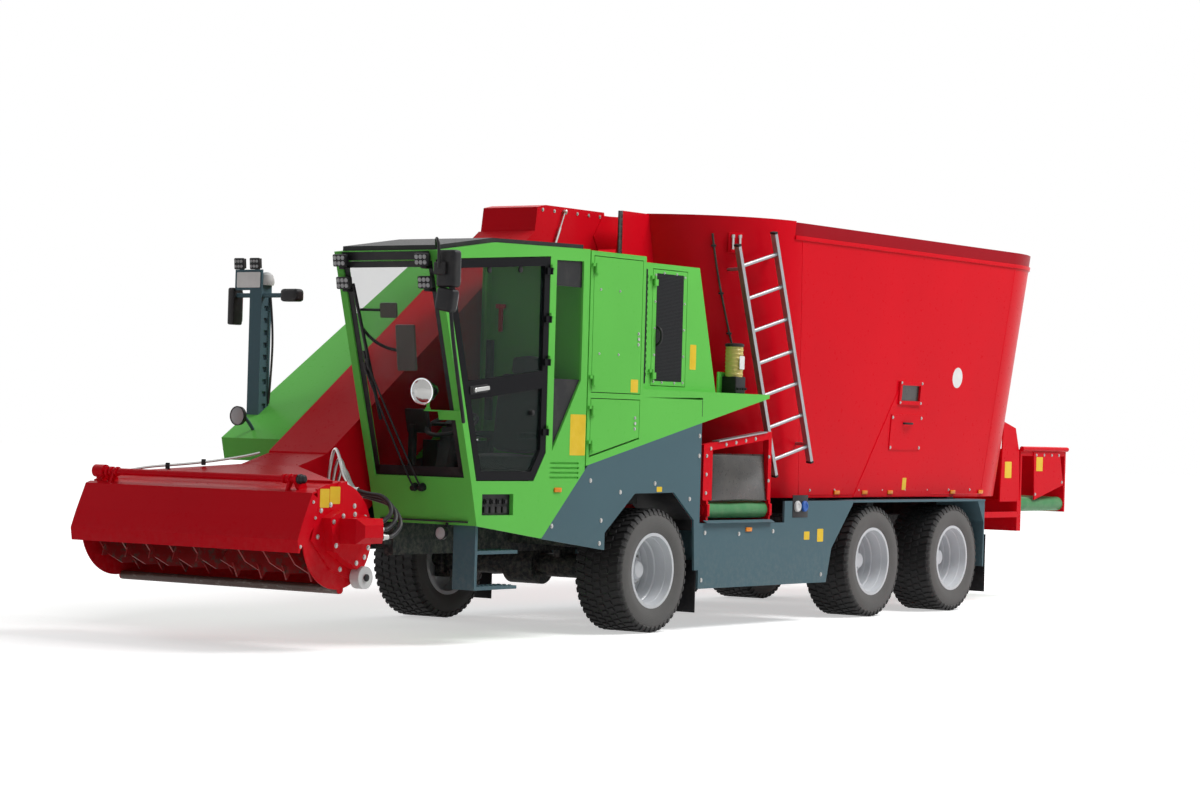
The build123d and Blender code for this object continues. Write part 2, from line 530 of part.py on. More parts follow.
# Cab inside: seat, console with steering wheel
with BuildPart() as driver_seat:
    block((600, 960), (-1640, -1240), (920, 1250))
    block((560, 1000), (-1700, -1200), (1250, 1390))
    prism([(-1300, 1390), (-1190, 1390), (-1100, 2050), (-1190, 2050)], (570, 990))
driver_seat.part.label = "driver_seat"
export_step(driver_seat.part, "parts/driver_seat.step")

with BuildPart() as cab_console:
    prism([(-2280, 920), (-2150, 920), (-2060, 1560), (-2120, 1580)], (730, 830))
    with Locations(Location((780, -2070 + FRONT_AXLE_Y, 1600), (25, 0, 0))):
        Torus(190, 16)
        Box(400, 30, 20)
        Cylinder(45, 50)
    block((380, 520), (-1900, -1200), (920, 1480))
cab_console.part.label = "cab_console"
export_step(cab_console.part, "parts/cab_console.step")

# Engine housing on the left: a tall front block, a set-back grille block and a ledge
HOUSE_X = (340, SIDE_X)
STEP_BACK = 60
GRILLE_ROWS = 17
GRILLE_PITCH = 48
GRILLE_SLOT = 26
DOOR_PLATE = 24
UPPER_DOOR = [(-955, 1870), (-285, 1870), (-285, 2915), (-955, 2915)]
LOWER_DOOR = [(-955, skirt_top(-955) + 55), (-285, skirt_top(-285) + 55), (-285, 1830), (-955, 1830)]
LOWER_LEAF = [(s, z + (DOOR_PLATE + HINGE_OUT) * SKIRT_SLOPE) for s, z in LOWER_DOOR[:2]] + LOWER_DOOR[2:]
GRILLE_DOOR = [(-60, 1945), (440, 1945), (440, 2870), (-60, 2870)]
SERVICE_DOORS = (("upper_service_door", UPPER_DOOR, SIDE_X), ("lower_service_door", LOWER_DOOR, SIDE_X),
                 ("grille_door", GRILLE_DOOR, SIDE_X - STEP_BACK))
LEDGE_TIP = 1640
with BuildPart() as engine_housing:
    prism([(-995, skirt_top(-995)), (-245, skirt_top(-245)), (-245, 2950), (-995, 2950)], HOUSE_X)
    prism([(-245, skirt_top(-245)), (SKIRT_END, skirt_top(SKIRT_END)), (905, 1850), (-245, 1850)], HOUSE_X)
    prism([(-245, 1845), (917, 1845), (613, 2911), (-245, 2911)], (HOUSE_X[0], SIDE_X - STEP_BACK))
    prism([(-245, 1850), (LEDGE_TIP, 1885), (LEDGE_TIP, 1915), (-245, 1915)], (1030, SIDE_X))
    prism([(SKIRT_END, skirt_top(SKIRT_END)), (LEDGE_TIP, 1885), (SKIRT_END, 1885)], (SIDE_X - PANEL, SIDE_X))
    prism([(-965, 1000), (-275, 1000), (-275, 2920), (-965, 2920)], (370, SIDE_X - 30), mode=Mode.SUBTRACT)
    prism([(-300, 1000), (585, 1000), (585, 2880), (-300, 2880)], (370, SIDE_X - STEP_BACK - 30),
          mode=Mode.SUBTRACT)
    for outline in (UPPER_DOOR, LOWER_DOOR):
        prism(outline, (SIDE_X - 40, SIDE_X + 5), mode=Mode.SUBTRACT)
    prism(GRILLE_DOOR, (SIDE_X - STEP_BACK - 40, SIDE_X - STEP_BACK + 5), mode=Mode.SUBTRACT)
    for row in range(GRILLE_ROWS):
        z = GRILLE_DOOR[0][1] + 75 + GRILLE_PITCH * row
        block((SIDE_X - STEP_BACK - 40, SIDE_X - STEP_BACK + 5), (-205, -125), (z, z + GRILLE_SLOT),
              mode=Mode.SUBTRACT)
    for name, outline, face in SERVICE_DOORS:
        for z in (outline[0][1] + 80, outline[3][1] - 110):
            hinge_half(face, outline[0][0] + MOVING_GAP, -40, z, fixed=True)
engine_housing.part.label = "engine_housing"
export_step(engine_housing.part, "parts/engine_housing.step")

for name, outline, face in SERVICE_DOORS:
    edge = outline[0][0] + MOVING_GAP
    with BuildPart() as door:
        leaf = LOWER_LEAF if outline is LOWER_DOOR else outline
        prism(leaf, (face - DOOR_PLATE, face), grow=-MOVING_GAP)
        for z in (outline[0][1] + 80, outline[3][1] - 110):
            hinge_half(face, edge, 50, z)
        if name == "grille_door":
            for row in range(GRILLE_ROWS):
                z = outline[0][1] + 75 + GRILLE_PITCH * row
                block((face - 40, face + 5), (outline[0][0] + 60, outline[1][0] - 60), (z, z + GRILLE_SLOT),
                      mode=Mode.SUBTRACT)
    door.part.label = name
    export_step(door.part, f"parts/{name}.step")

with BuildPart() as engine_block:
    block((380, 880), (-850, 250), (1000, 1900))
engine_block.part.label = "engine_block"
export_step(engine_block.part, "parts/engine_block.step")

# Grey side skirts with open front arches, sill boxes and rear mudguards
ARCH = [(-720, 668), (-720, 800), (-320, 1100), (234, 1106), (529, 885), (556, 480)]
GUARD_START = MID_AXLE - 412
GUARD_END = REAR_AXLE + 588
GUARD_Z = (1012, 1030)
SILL = [(SKIRT_END, 330), (GUARD_START - 435, 330), (GUARD_START - 355, 620), (GUARD_START, 1000),
        (GUARD_START, GUARD_Z[1]), (1930, GUARD_Z[1]), (1930, 850), (SKIRT_END, 858)]
with BuildPart() as side_skirts:
    for side in BOTH_SIDES:
        skin = (side * (SIDE_X - PANEL), side * SIDE_X)
        prism([SKIRT_NOSE, SKIRT_START, (SKIRT_END, skirt_top(SKIRT_END)), (SKIRT_END, 480)] + ARCH[::-1], skin)
        prism(SILL, skin)
        block((side * 820, side * (SIDE_X - PANEL)), (SKIRT_END + 45, GUARD_START - 475), (345, 800))
        block((side * 780, side * SIDE_X), (GUARD_START, GUARD_END), GUARD_Z)
        prism([(GUARD_END - 20, 400), (GUARD_END, 400), (GUARD_END, GUARD_Z[1]), (GUARD_END - 150, GUARD_Z[1]),
               (GUARD_END - 20, 820)], (side * 790, side * (SIDE_X - 5)))
side_skirts.part.label = "side_skirts"
export_step(side_skirts.part, "parts/side_skirts.step")

# Right bodywork: a closed hood sloping up beside the arm
HOOD_OUTLINE = [(-2300, 1280), (-2340, 1450), (-100, 2900), (613, 2900), (917, 1921), (905, 1850),
                (SKIRT_END, skirt_top(SKIRT_END)), SKIRT_START]
with BuildPart() as right_hood:
    prism(HOOD_OUTLINE, (-SIDE_X, -400))
right_hood.part.label = "right_hood"
export_step(right_hood.part, "parts/right_hood.step")

# Mirror post on the right hood, its lamps, and the mirrors
POST_Y = -2000
with BuildPart() as mirror_post:
    block((-1245, -1125), (POST_Y - 60, POST_Y + 60), (1500, 2640))
    block((-1400, -1125), (POST_Y - 60, POST_Y - 45), (2600, 2760))
    rod_x(18, (-1400, -900), POST_Y - 30, 2560)
    for row in range(9):
        block((-1140, -1120), (POST_Y - 22, POST_Y + 22), (1680 + 95 * row, 1720 + 95 * row),
              mode=Mode.SUBTRACT)
    prism(HOOD_OUTLINE, (-SIDE_X - 5, -400), mode=Mode.SUBTRACT)
mirror_post.part.label = "mirror_post"
export_step(mirror_post.part, "parts/mirror_post.step")

with BuildPart() as mirrors:
    block((1290, 1450), (-2960, -2890), (2390, 2830))
    rod_x(16, (SIDE_X, 1300), -2860, 2700)
    block((1284, 1316), (-2892, -2840), (2684, 2716))
    block((-1450, -1400), (POST_Y - 90, POST_Y + 40), (2330, 2620))
    block((-900, -780), (POST_Y - 90, POST_Y + 30), (2500, 2620))
mirrors.part.label = "mirrors"
export_step(mirrors.part, "parts/mirrors.step")

with BuildPart() as work_lamps:
    for x in (390, 1140):
        for z in (2600, 2760):
            y = screen_y(z)
            block((x - 60, x + 60), (y - 75, y + 3), (z - 45, z + 45))
    prism(CAB_OUTER, CAB_X, mode=Mode.SUBTRACT)
    for x in (-1360, -1200):
        block((x - 45, x + 45), (POST_Y - 75, POST_Y - 5), (2760, 2850))
work_lamps.part.label = "work_lamps"
export_step(work_lamps.part, "parts/work_lamps.step")

# Cab steps under the door
with BuildPart() as cab_steps:
    block((1000, 1200), (-2300, -2270), (400, 870))
    for z in (400, 660):
        block((1000, 1200), (-2300, -1780), (z, z + 25))
cab_steps.part.label = "cab_steps"
export_step(cab_steps.part, "parts/cab_steps.step")

# Ladder on the tub's front left corner
LADDER_FOOT = Vector(1200, 2110, 1300)
LADDER_TOP = Vector(1200, 1430, 3200)
RUNG_HALF = Vector(66, 175, 62)
with BuildPart() as tub_ladder:
    shift = Vector(0, FRONT_AXLE_Y, 0)
    for sign in BOTH_SIDES:
        foot = LADDER_FOOT + RUNG_HALF * sign + shift
        top = LADDER_TOP + RUNG_HALF * sign + shift
        with BuildSketch(Plane(origin=foot, x_dir=RUNG_HALF, z_dir=top - foot)) as rail:
            Rectangle(28, 60)
        extrude(rail.sketch, amount=(top - foot).length)
        for share in (0.08, 0.9):
            hook = foot + (top - foot) * share
            with BuildSketch(Plane(origin=hook, z_dir=(-0.9, 0.43, 0))) as stay:
                Circle(14)
            extrude(stay.sketch, amount=260)
    for count in range(7):
        middle = LADDER_FOOT + (LADDER_TOP - LADDER_FOOT) * (0.07 + 0.14 * count) + shift
        with BuildSketch(Plane(origin=middle - RUNG_HALF, z_dir=RUNG_HALF)) as rung:
            Circle(16)
        extrude(rung.sketch, amount=2 * RUNG_HALF.length)
    tub_body(TUB_FLOOR_Z, TUB_TOP_Z + 20, 0, mode=Mode.SUBTRACT)
tub_ladder.part.label = "tub_ladder"
export_step(tub_ladder.part, "parts/tub_ladder.step")

# Grease pump on the ledge
with BuildPart() as grease_pump:
    block((1060, 1200), (1180, 1330), (1915, 2060))
    rod_z(65, 1130, 1255, (2060, 2330))
grease_pump.part.label = "grease_pump"
export_step(grease_pump.part, "parts/grease_pump.step")

# Intake arm: a hollow channel with a raised top hood, pivot pins and the lift lugs
ARM_NOSE_TOP = 1270
NOSE_SLOPE = (arm_top(ARM_FOLD) - ARM_NOSE_TOP) / (ARM_FOLD - ARM_NOSE)
ARM_OUTLINE = [(ARM_NOSE, ARM_NOSE_TOP), (ARM_FOLD, arm_top(ARM_FOLD)), (-360, arm_top(-360)),
               (-330, 3352), (-220, 3375), (600, 3375), (640, 3200), (480, 3000), (200, arm_bottom(200)),
               (ARM_FOLD, arm_bottom(ARM_FOLD)), (ARM_NOSE, 560)]
ARM_HOLLOW = [(ARM_NOSE - 135, ARM_NOSE_TOP - 135 * NOSE_SLOPE - 15), (ARM_FOLD, arm_top(ARM_FOLD) - 15),
              (-345, arm_top(-345) - 15), (-315, 3338), (-220, 3361), (560, 3361), (700, 3150), (470, 2980),
              (190, arm_bottom(190) + 15), (ARM_FOLD, arm_bottom(ARM_FOLD) + 15), (-3300, 560)]
with BuildPart() as arm_channel:
    prism(ARM_OUTLINE, ARM_X)
    prism(ARM_HOLLOW, (ARM_X[0] + ARM_WALL, ARM_X[1] - ARM_WALL), mode=Mode.SUBTRACT)
    prism([(ARM_FOLD, arm_top(ARM_FOLD) - 2), (-370, arm_top(-370) - 2), (-370, arm_top(-370) + 10),
           (ARM_FOLD, arm_top(ARM_FOLD) + 10)], (ARM_X[0] - 12, ARM_X[1] + 12))
    for x in ((ARM_X[1] - ARM_WALL, TOWER_X[0][1] - 1), (TOWER_X[1][0] + 1, ARM_X[0] + ARM_WALL)):
        rod_x(PIVOT_R, x, *PIVOT)
    for x in ((ARM_MID_X + 42, ARM_MID_X + 57), (ARM_MID_X - 57, ARM_MID_X - 42)):
        prism([(-700, arm_bottom(-700) + 5), (-300, arm_bottom(-300) + 5), (-470, 2090), (-545, 2070)], x)
    rod_x(TROUGH_R + TROUGH_WALL + SEAT_GAP, (-400, 400), *DRUM_AXIS, mode=Mode.SUBTRACT)
arm_channel.part.label = "arm_channel"
export_step(arm_channel.part, "parts/arm_channel.step")

# Milling head: trough, top cover flaring out from the arm, end plates, scraper bar and hinge lugs
SHELL_R = TROUGH_R + TROUGH_WALL
HEAD_ENDS = ((HEAD_X[1], 1), (HEAD_X[0], -1))
FLARE = ((ARM_X, ARM_NOSE - SEAT_GAP, (1000, ARM_NOSE_TOP)), (HEAD_X, DRUM_AXIS[0] - 60, (1090, 1185)))
END_PLATE = [(-3744, 1127), (-3651, 1158), (-3530, 1150), (-3498, 1180), (-3465, 1140), (-3200, 987),
             (-3173, 925), (-3189, 739), (-3254, 570), (-3360, 496), (-3578, 563), (-3799, 780), (-3737, 960)]
HINGE_LUG = [(-3720, 1090), (-3630, 1090), (-3700, 1225), (COWL_HINGE[0] - 38, 1225),
             (COWL_HINGE[0] - 38, 1170)]
LUG_X = (740, -1060)
LUG = 20
with BuildPart() as head_frame:
    rod_x(SHELL_R, HEAD_X, *DRUM_AXIS)
    prism([(-3757, 1098), (-3400, 1130), (-3400, 1182), (-3757, 1116)], HEAD_X)
    ends = []
    for x, station, z in FLARE:
        across = Plane(origin=(0, station + FRONT_AXLE_Y, 0), x_dir=(1, 0, 0), z_dir=(0, -1, 0))
        with BuildSketch(across) as mouth:
            with Locations((sum(x) / 2, sum(z) / 2)):
                Rectangle(x[1] - x[0], z[1] - z[0])
        ends.append(mouth.sketch)
    loft(ends)
    rod_x(TROUGH_R, HEAD_X, *DRUM_AXIS, mode=Mode.SUBTRACT)
    prism([(-4000, 300), (-3440, 300), (-3440, 560), (-3160, 700), (-3500, 800), (-3500, 1080), (-4000, 1080)],
          HEAD_X, mode=Mode.SUBTRACT)
    block((ARM_X[0] + ARM_WALL, ARM_X[1] - ARM_WALL), (-3400, -3000), (560, 1150), mode=Mode.SUBTRACT)
    rod_x(30, HEAD_X, -3445, 425)
    for face, side in HEAD_ENDS:
        rod_x(SHELL_R, (face, face + side * 8), *DRUM_AXIS)
        prism(END_PLATE, (face, face + side * CHEEK))
        rod_x(ROLLER_PIN_R, (face + side * 2, face + side * 110), *ROLLER_AXIS)
    for x in LUG_X:
        prism(HINGE_LUG, (x - LUG / 2, x + LUG / 2))
    rod_x(COWL_BAR_R + RUNNING_GAP, (LUG_X[1] - LUG, LUG_X[0] + LUG), *COWL_HINGE, mode=Mode.SUBTRACT)
    rod_x(46, (HEAD_X[0], LUG_X[1] - LUG - 10), *COWL_HINGE)
    block((HEAD_X[0], HEAD_X[0] + 60), (-3740, -3690), (1100, 1170))
    rod_x(45 + RUNNING_GAP, (HEAD_X[0] - 30, HEAD_X[1] + 30), *DRUM_AXIS, mode=Mode.SUBTRACT)
head_frame.part.label = "head_frame"
export_step(head_frame.part, "parts/head_frame.step")

# Drive on the left end plate: gear case with a bevelled motor box
GEAR_CASE = [(-3690, 930), (-3560, 985), (-3300, 940), (-3235, 820), (-3290, 620), (-3390, 570), (-3640, 700)]
MOTOR_BOX = ((1000, 1190), (-3590, -3300), (755, 930))
with BuildPart() as head_drive:
    prism(GEAR_CASE, (HEAD_X[1] + CHEEK, MOTOR_BOX[0][0]))
    block((MOTOR_BOX[0][0] - 10, MOTOR_BOX[0][1]), *MOTOR_BOX[1:])
    chamfer(head_drive.faces().sort_by(Axis.X)[-1].edges(), 45)
head_drive.part.label = "head_drive"
export_step(head_drive.part, "parts/head_drive.step")

# Milling drum: flights wind towards the arm's mouth from both ends and carry three-cornered blades
DRUM_CORE_R = 150
FLIGHT_R = 288
DRUM_PITCH = 460
DRUM_STARTS = 2
with BuildPart() as milling_drum:
    rod_x(DRUM_CORE_R, (HEAD_X[0] + 8, HEAD_X[1] - 8), *DRUM_AXIS)
    rod_x(45, (HEAD_X[0] - 19, HEAD_X[1] + 19), *DRUM_AXIS)
    for face, side in HEAD_ENDS:
        drum_half = Plane(origin=(ARM_MID_X, DRUM_AXIS[0] + FRONT_AXLE_Y, DRUM_AXIS[1]), x_dir=(0, 1, 0),
                          z_dir=(side, 0, 0))
        length = abs(face - ARM_MID_X) - 80
        for start in range(DRUM_STARTS):
            phase = 360 * start / DRUM_STARTS + 45
            spiral_flight(drum_half, DRUM_CORE_R - 15, (FLIGHT_R, FLIGHT_R), 40, DRUM_PITCH, length, 14,
                          phase=phase)
            spiral_blades(drum_half, (FLIGHT_R, FLIGHT_R), 40, DRUM_PITCH, length,
                          (DRUM_TIP_R - FLIGHT_R - 3, 60), 2, phase=phase)
milling_drum.part.label = "milling_drum"
export_step(milling_drum.part, "parts/milling_drum.step")

# Front cowl folded from flat strips, with end cheeks, on brackets from its hinge bar
COWL_PLATE = 13
COWL_FOLDS = [(-3765, 1118), (-3813, 1103), (-3905, 905), (-3955, 780), (-3940, 690)]
COWL_INSIDE = [(-3927, 690), (-3941, 780), (-3892, 903), (-3803, 1093), (-3765, 1106)]
COWL_CHEEK = [(-3813, 1103), (-3905, 905), (-3955, 780), (-3940, 690), (-3757, 900), (-3757, 1067)]
COWL_X = (HEAD_X[0] - CHEEK - MOVING_GAP - 8, HEAD_X[1] + CHEEK + MOVING_GAP + 8)
COWL_ARM = [(-3800, 1100), (-3767, 1108), (-3727, 1180), (COWL_HINGE[0], 1205), (COWL_HINGE[0] - 20, 1190)]
with BuildPart() as head_cowl:
    prism(COWL_FOLDS + COWL_INSIDE, COWL_X)
    for x in ((COWL_X[0], COWL_X[0] + 8), (COWL_X[1] - 8, COWL_X[1])):
        prism(COWL_CHEEK, x)
    rod_x(COWL_BAR_R, (LUG_X[1] - LUG / 2, LUG_X[0] + LUG / 2), *COWL_HINGE)
    for x in (LUG_X[0] - 60, LUG_X[1] + 60):
        prism(COWL_ARM, (x - LUG / 2, x + LUG / 2))
head_cowl.part.label = "head_cowl"
export_step(head_cowl.part, "parts/head_cowl.step")

with BuildPart() as support_rollers:
    for face, side in HEAD_ENDS:
        x = (face + side * (CHEEK + MOVING_GAP), face + side * 105)
        rod_x(ROLLER_R, x, *ROLLER_AXIS)
        rod_x(ROLLER_PIN_R + RUNNING_GAP, x, *ROLLER_AXIS, mode=Mode.SUBTRACT)
support_rollers.part.label = "support_rollers"
export_step(support_rollers.part, "parts/support_rollers.step")

# Lift cylinder: barrel on the chassis pin, rod reaching up between the arm's lugs
LIFT_LINE = Plane(origin=(ARM_MID_X, LIFT_FOOT[0] + FRONT_AXLE_Y, LIFT_FOOT[1]), x_dir=(1, 0, 0),
                  z_dir=(0, LIFT_HEAD[0] - LIFT_FOOT[0], LIFT_HEAD[1] - LIFT_FOOT[1]))
LIFT_LENGTH = math.dist(LIFT_FOOT, LIFT_HEAD)
with BuildPart() as lift_barrel:
    with BuildSketch(LIFT_LINE) as tube:
        Circle(55)
    extrude(tube.sketch, amount=BARREL_LENGTH)
    rod_x(50, (ARM_MID_X - 30, ARM_MID_X + 30), *LIFT_FOOT)
    block((-200, ARM_MID_X - 30), (-520, -380), (840, 965), mode=Mode.SUBTRACT)
    block((ARM_MID_X + 30, 200), (-520, -380), (840, 965), mode=Mode.SUBTRACT)
    with BuildSketch(LIFT_LINE.offset(90)) as bore:
        Circle(35 + RUNNING_GAP)
    extrude(bore.sketch, amount=BARREL_LENGTH, mode=Mode.SUBTRACT)
    rod_x(25 + RUNNING_GAP, (ARM_MID_X - 40, ARM_MID_X + 40), *LIFT_FOOT, mode=Mode.SUBTRACT)
lift_barrel.part.label = "lift_barrel"
export_step(lift_barrel.part, "parts/lift_barrel.step")

with BuildPart() as lift_rod:
    with BuildSketch(LIFT_LINE.offset(LIFT_LENGTH - ROD_LENGTH)) as bar:
        Circle(35)
    extrude(bar.sketch, amount=ROD_LENGTH - 20)
    rod_x(45, (ARM_MID_X - 36, ARM_MID_X + 36), *LIFT_HEAD)
    rod_x(25, (ARM_MID_X - 40, ARM_MID_X + 40), *LIFT_HEAD, mode=Mode.SUBTRACT)
lift_rod.part.label = "lift_rod"
export_step(lift_rod.part, "parts/lift_rod.step")
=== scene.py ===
import json
import math

import bmesh
import bpy
from mathutils import Matrix, Vector


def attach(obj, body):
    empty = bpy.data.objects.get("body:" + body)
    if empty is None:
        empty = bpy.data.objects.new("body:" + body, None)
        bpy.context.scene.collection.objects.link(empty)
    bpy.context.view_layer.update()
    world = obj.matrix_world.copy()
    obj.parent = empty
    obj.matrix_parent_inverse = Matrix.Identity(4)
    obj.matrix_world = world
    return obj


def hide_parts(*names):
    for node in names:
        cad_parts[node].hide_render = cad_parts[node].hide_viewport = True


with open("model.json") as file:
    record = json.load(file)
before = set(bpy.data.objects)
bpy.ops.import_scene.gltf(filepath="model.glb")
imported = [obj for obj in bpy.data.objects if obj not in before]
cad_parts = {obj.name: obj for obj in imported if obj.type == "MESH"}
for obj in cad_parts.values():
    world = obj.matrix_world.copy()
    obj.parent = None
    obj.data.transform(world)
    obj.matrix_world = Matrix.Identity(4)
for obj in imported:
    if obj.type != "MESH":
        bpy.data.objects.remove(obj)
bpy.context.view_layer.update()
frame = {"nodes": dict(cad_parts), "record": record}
nodes = frame["nodes"]

# Stations in this script are metres behind the front axle, as in the part's source
FRONT_AXLE = -2.0
SIDE = 1.245
HOUSE_FACE = 1.185
TYRE_RADIUS = 0.49
WHEEL_X = 1.012
AXLES = {"front": 0.0, "mid": 3.487, "rear": 4.972}
HANDS = {"left": 1, "right": -1}
OUT_LEFT = Vector((1, 0, 0))
UP = Vector((0, 0, 1))
AHEAD = Vector((0, -1, 0))


def at(x, station, z):
    return Vector((x, station + FRONT_AXLE, z))


def path(*spots):
    return [at(*spot) for spot in spots]


def on_face(x, spots):
    """Points given as (station, z) on an upright face at x."""
    return [at(x, *spot) for spot in spots]


def here(x, station, z):
    """A matrix at a spot, with the world's axes."""
    return Matrix.Translation(at(x, station, z))


# Materials

def shader(name):
    """A new material, its node tree and its Principled node."""
    made = bpy.data.materials.new(name)
    made.use_nodes = True
    tree = made.node_tree
    return made, tree, tree.nodes["Principled BSDF"]


def object_space(tree):
    """The object's own coordinates."""
    return tree.nodes.new("ShaderNodeTexCoord").outputs["Object"]


def axes(tree, source):
    """The X, Y and Z of a vector."""
    split = tree.nodes.new("ShaderNodeSeparateXYZ")
    tree.links.new(source, split.inputs[0])
    return split.outputs


def length_of(tree, source):
    """The length of a vector."""
    node = tree.nodes.new("ShaderNodeVectorMath")
    node.operation = "LENGTH"
    tree.links.new(source, node.inputs[0])
    return node.outputs["Value"]


def noise(tree, scale, detail=4.0, rough=0.55, stretch=None):
    """Noise over the object's own coordinates; stretch scales each axis first."""
    texture = tree.nodes.new("ShaderNodeTexNoise")
    texture.inputs["Scale"].default_value = scale
    texture.inputs["Detail"].default_value = detail
    texture.inputs["Roughness"].default_value = rough
    source = object_space(tree)
    if stretch:
        mapping = tree.nodes.new("ShaderNodeMapping")
        mapping.inputs["Scale"].default_value = stretch
        tree.links.new(source, mapping.inputs["Vector"])
        source = mapping.outputs["Vector"]
    tree.links.new(source, texture.inputs["Vector"])
    return texture.outputs["Fac"]


def ramp(tree, source, low, high, low_value=0.0, high_value=1.0):
    """Maps a value between two limits, clamped."""
    mapper = tree.nodes.new("ShaderNodeMapRange")
    for socket, value in zip(mapper.inputs[1:5], (low, high, low_value, high_value)):
        socket.default_value = value
    tree.links.new(source, mapper.inputs["Value"])
    return mapper.outputs["Result"]


def compute(tree, operation, *values):
    """The result of a math node on numbers and sockets."""
    node = tree.nodes.new("ShaderNodeMath")
    node.operation = operation
    for socket, value in zip(node.inputs, values):
        if isinstance(value, float):
            socket.default_value = value
        else:
            tree.links.new(value, socket)
    return node.outputs[0]


def multiply(tree, first, second):
    return compute(tree, "MULTIPLY", first, second)


def mix(tree, share, first, second):
    """Mixes two colours, each a colour or a socket."""
    node = tree.nodes.new("ShaderNodeMix")
    node.data_type = "RGBA"
    tree.links.new(share, node.inputs["Factor"])
    for socket, value in zip((node.inputs[6], node.inputs[7]), (first, second)):
        if isinstance(value, (tuple, list)):
            socket.default_value = (*value[:3], 1)
        else:
            tree.links.new(value, socket)
    return node.outputs[2]


def bump(tree, principled, height, strength, distance=0.002):
    node = tree.nodes.new("ShaderNodeBump")
    node.inputs["Strength"].default_value = strength
    node.inputs["Distance"].default_value = distance
    tree.links.new(height, node.inputs["Height"])
    tree.links.new(node.outputs["Normal"], principled.inputs["Normal"])


def height_of(tree):
    """Height above the ground at rest, from the object's own coordinates."""
    return axes(tree, object_space(tree))["Z"]


def upward(tree):
    """How far a face looks up, from 0 to 1."""
    geometry = tree.nodes.new("ShaderNodeNewGeometry")
    return ramp(tree, axes(tree, geometry.outputs["Normal"])["Z"], 0.5, 1.0)


def tinted(colour, factor):
    return tuple(min(1.0, channel * factor) for channel in colour[:3])


DUST = (0.52, 0.47, 0.40)


def paint(name, colour, rough=0.3, coat=0.02, dust=0.14, dust_top=0.9, peel=0.012):
    """Sprayed enamel: faint cloudy tone, orange peel, thin dust low down and on top faces, clear coat."""
    made, tree, principled = shader(name)
    clouds = noise(tree, 0.7, 3.0)
    tone = mix(tree, ramp(tree, clouds, 0.3, 0.7), tinted(colour, 0.95), tinted(colour, 1.03))
    grain = noise(tree, 26.0, 6.0, 0.7)
    low = ramp(tree, height_of(tree), 0.2, dust_top, 1.0, 0.0)
    spread = multiply(tree, low, ramp(tree, grain, 0.42, 0.75))
    dusty = mix(tree, multiply(tree, spread, dust), tone, DUST)
    settled = multiply(tree, multiply(tree, upward(tree), ramp(tree, grain, 0.35, 0.8)), 0.04)
    tree.links.new(mix(tree, settled, dusty, DUST), principled.inputs["Base Color"])
    tree.links.new(ramp(tree, grain, 0.3, 0.8, rough * 0.85, rough * 1.25), principled.inputs["Roughness"])
    principled.inputs["Specular IOR Level"].default_value = 0.035
    principled.inputs["Coat Weight"].default_value = coat
    principled.inputs["Coat Roughness"].default_value = 0.06
    bump(tree, principled, noise(tree, 180.0, 2.0), peel)
    return made


def worn_paint(name, colour, bare=(0.36, 0.33, 0.31), amount=0.5):
    """Enamel scraped through to bare steel in streaks, as on tools that work in feed."""
    made, tree, principled = shader(name)
    patches = noise(tree, 9.0, 8.0, 0.72, (1.0, 2.2, 2.2))
    scraped = ramp(tree, patches, 0.62 - 0.2 * amount, 0.74 - 0.2 * amount)
    clouds = noise(tree, 3.0, 3.0)
    tone = mix(tree, clouds, tinted(colour, 0.75), tinted(colour, 1.15))
    tree.links.new(mix(tree, scraped, tone, bare), principled.inputs["Base Color"])
    tree.links.new(multiply(tree, scraped, 0.7), principled.inputs["Metallic"])
    tree.links.new(ramp(tree, patches, 0.3, 0.8, 0.38, 0.6), principled.inputs["Roughness"])
    bump(tree, principled, patches, 0.15)
    return made


def metal(name, colour, rough=0.3, brush=None, mottling=0.12):
    """Bare or plated metal, brushed along the axis with the small stretch value."""
    made, tree, principled = shader(name)
    clouds = noise(tree, 7.0, 5.0, 0.65)
    tree.links.new(mix(tree, clouds, tinted(colour, 1 - mottling), tinted(colour, 1 + mottling)),
                   principled.inputs["Base Color"])
    lines = noise(tree, 60.0, 3.0, 0.6, brush or (1, 1, 1))
    tree.links.new(ramp(tree, lines, 0.3, 0.7, rough * 0.75, rough * 1.4), principled.inputs["Roughness"])
    principled.inputs["Metallic"].default_value = 1.0
    bump(tree, principled, lines, 0.05)
    return made


def moulded(name, colour, rough=0.5, grain=420.0, strength=0.25, dust=0.05, gloss=0.2):
    """Grained plastic or rubber with a little dust in its texture."""
    made, tree, principled = shader(name)
    principled.inputs["Specular IOR Level"].default_value = gloss
    fine = noise(tree, grain, 3.0, 0.6)
    clouds = noise(tree, 5.0, 5.0, 0.65)
    tone = mix(tree, clouds, tinted(colour, 0.8), tinted(colour, 1.25))
    tree.links.new(mix(tree, multiply(tree, ramp(tree, clouds, 0.45, 0.8), dust), tone, DUST),
                   principled.inputs["Base Color"])
    dull = min(1.0, rough * 1.2)
    tree.links.new(ramp(tree, fine, 0.3, 0.7, rough * 0.85, dull), principled.inputs["Roughness"])
    bump(tree, principled, fine, strength, 0.001)
    return made


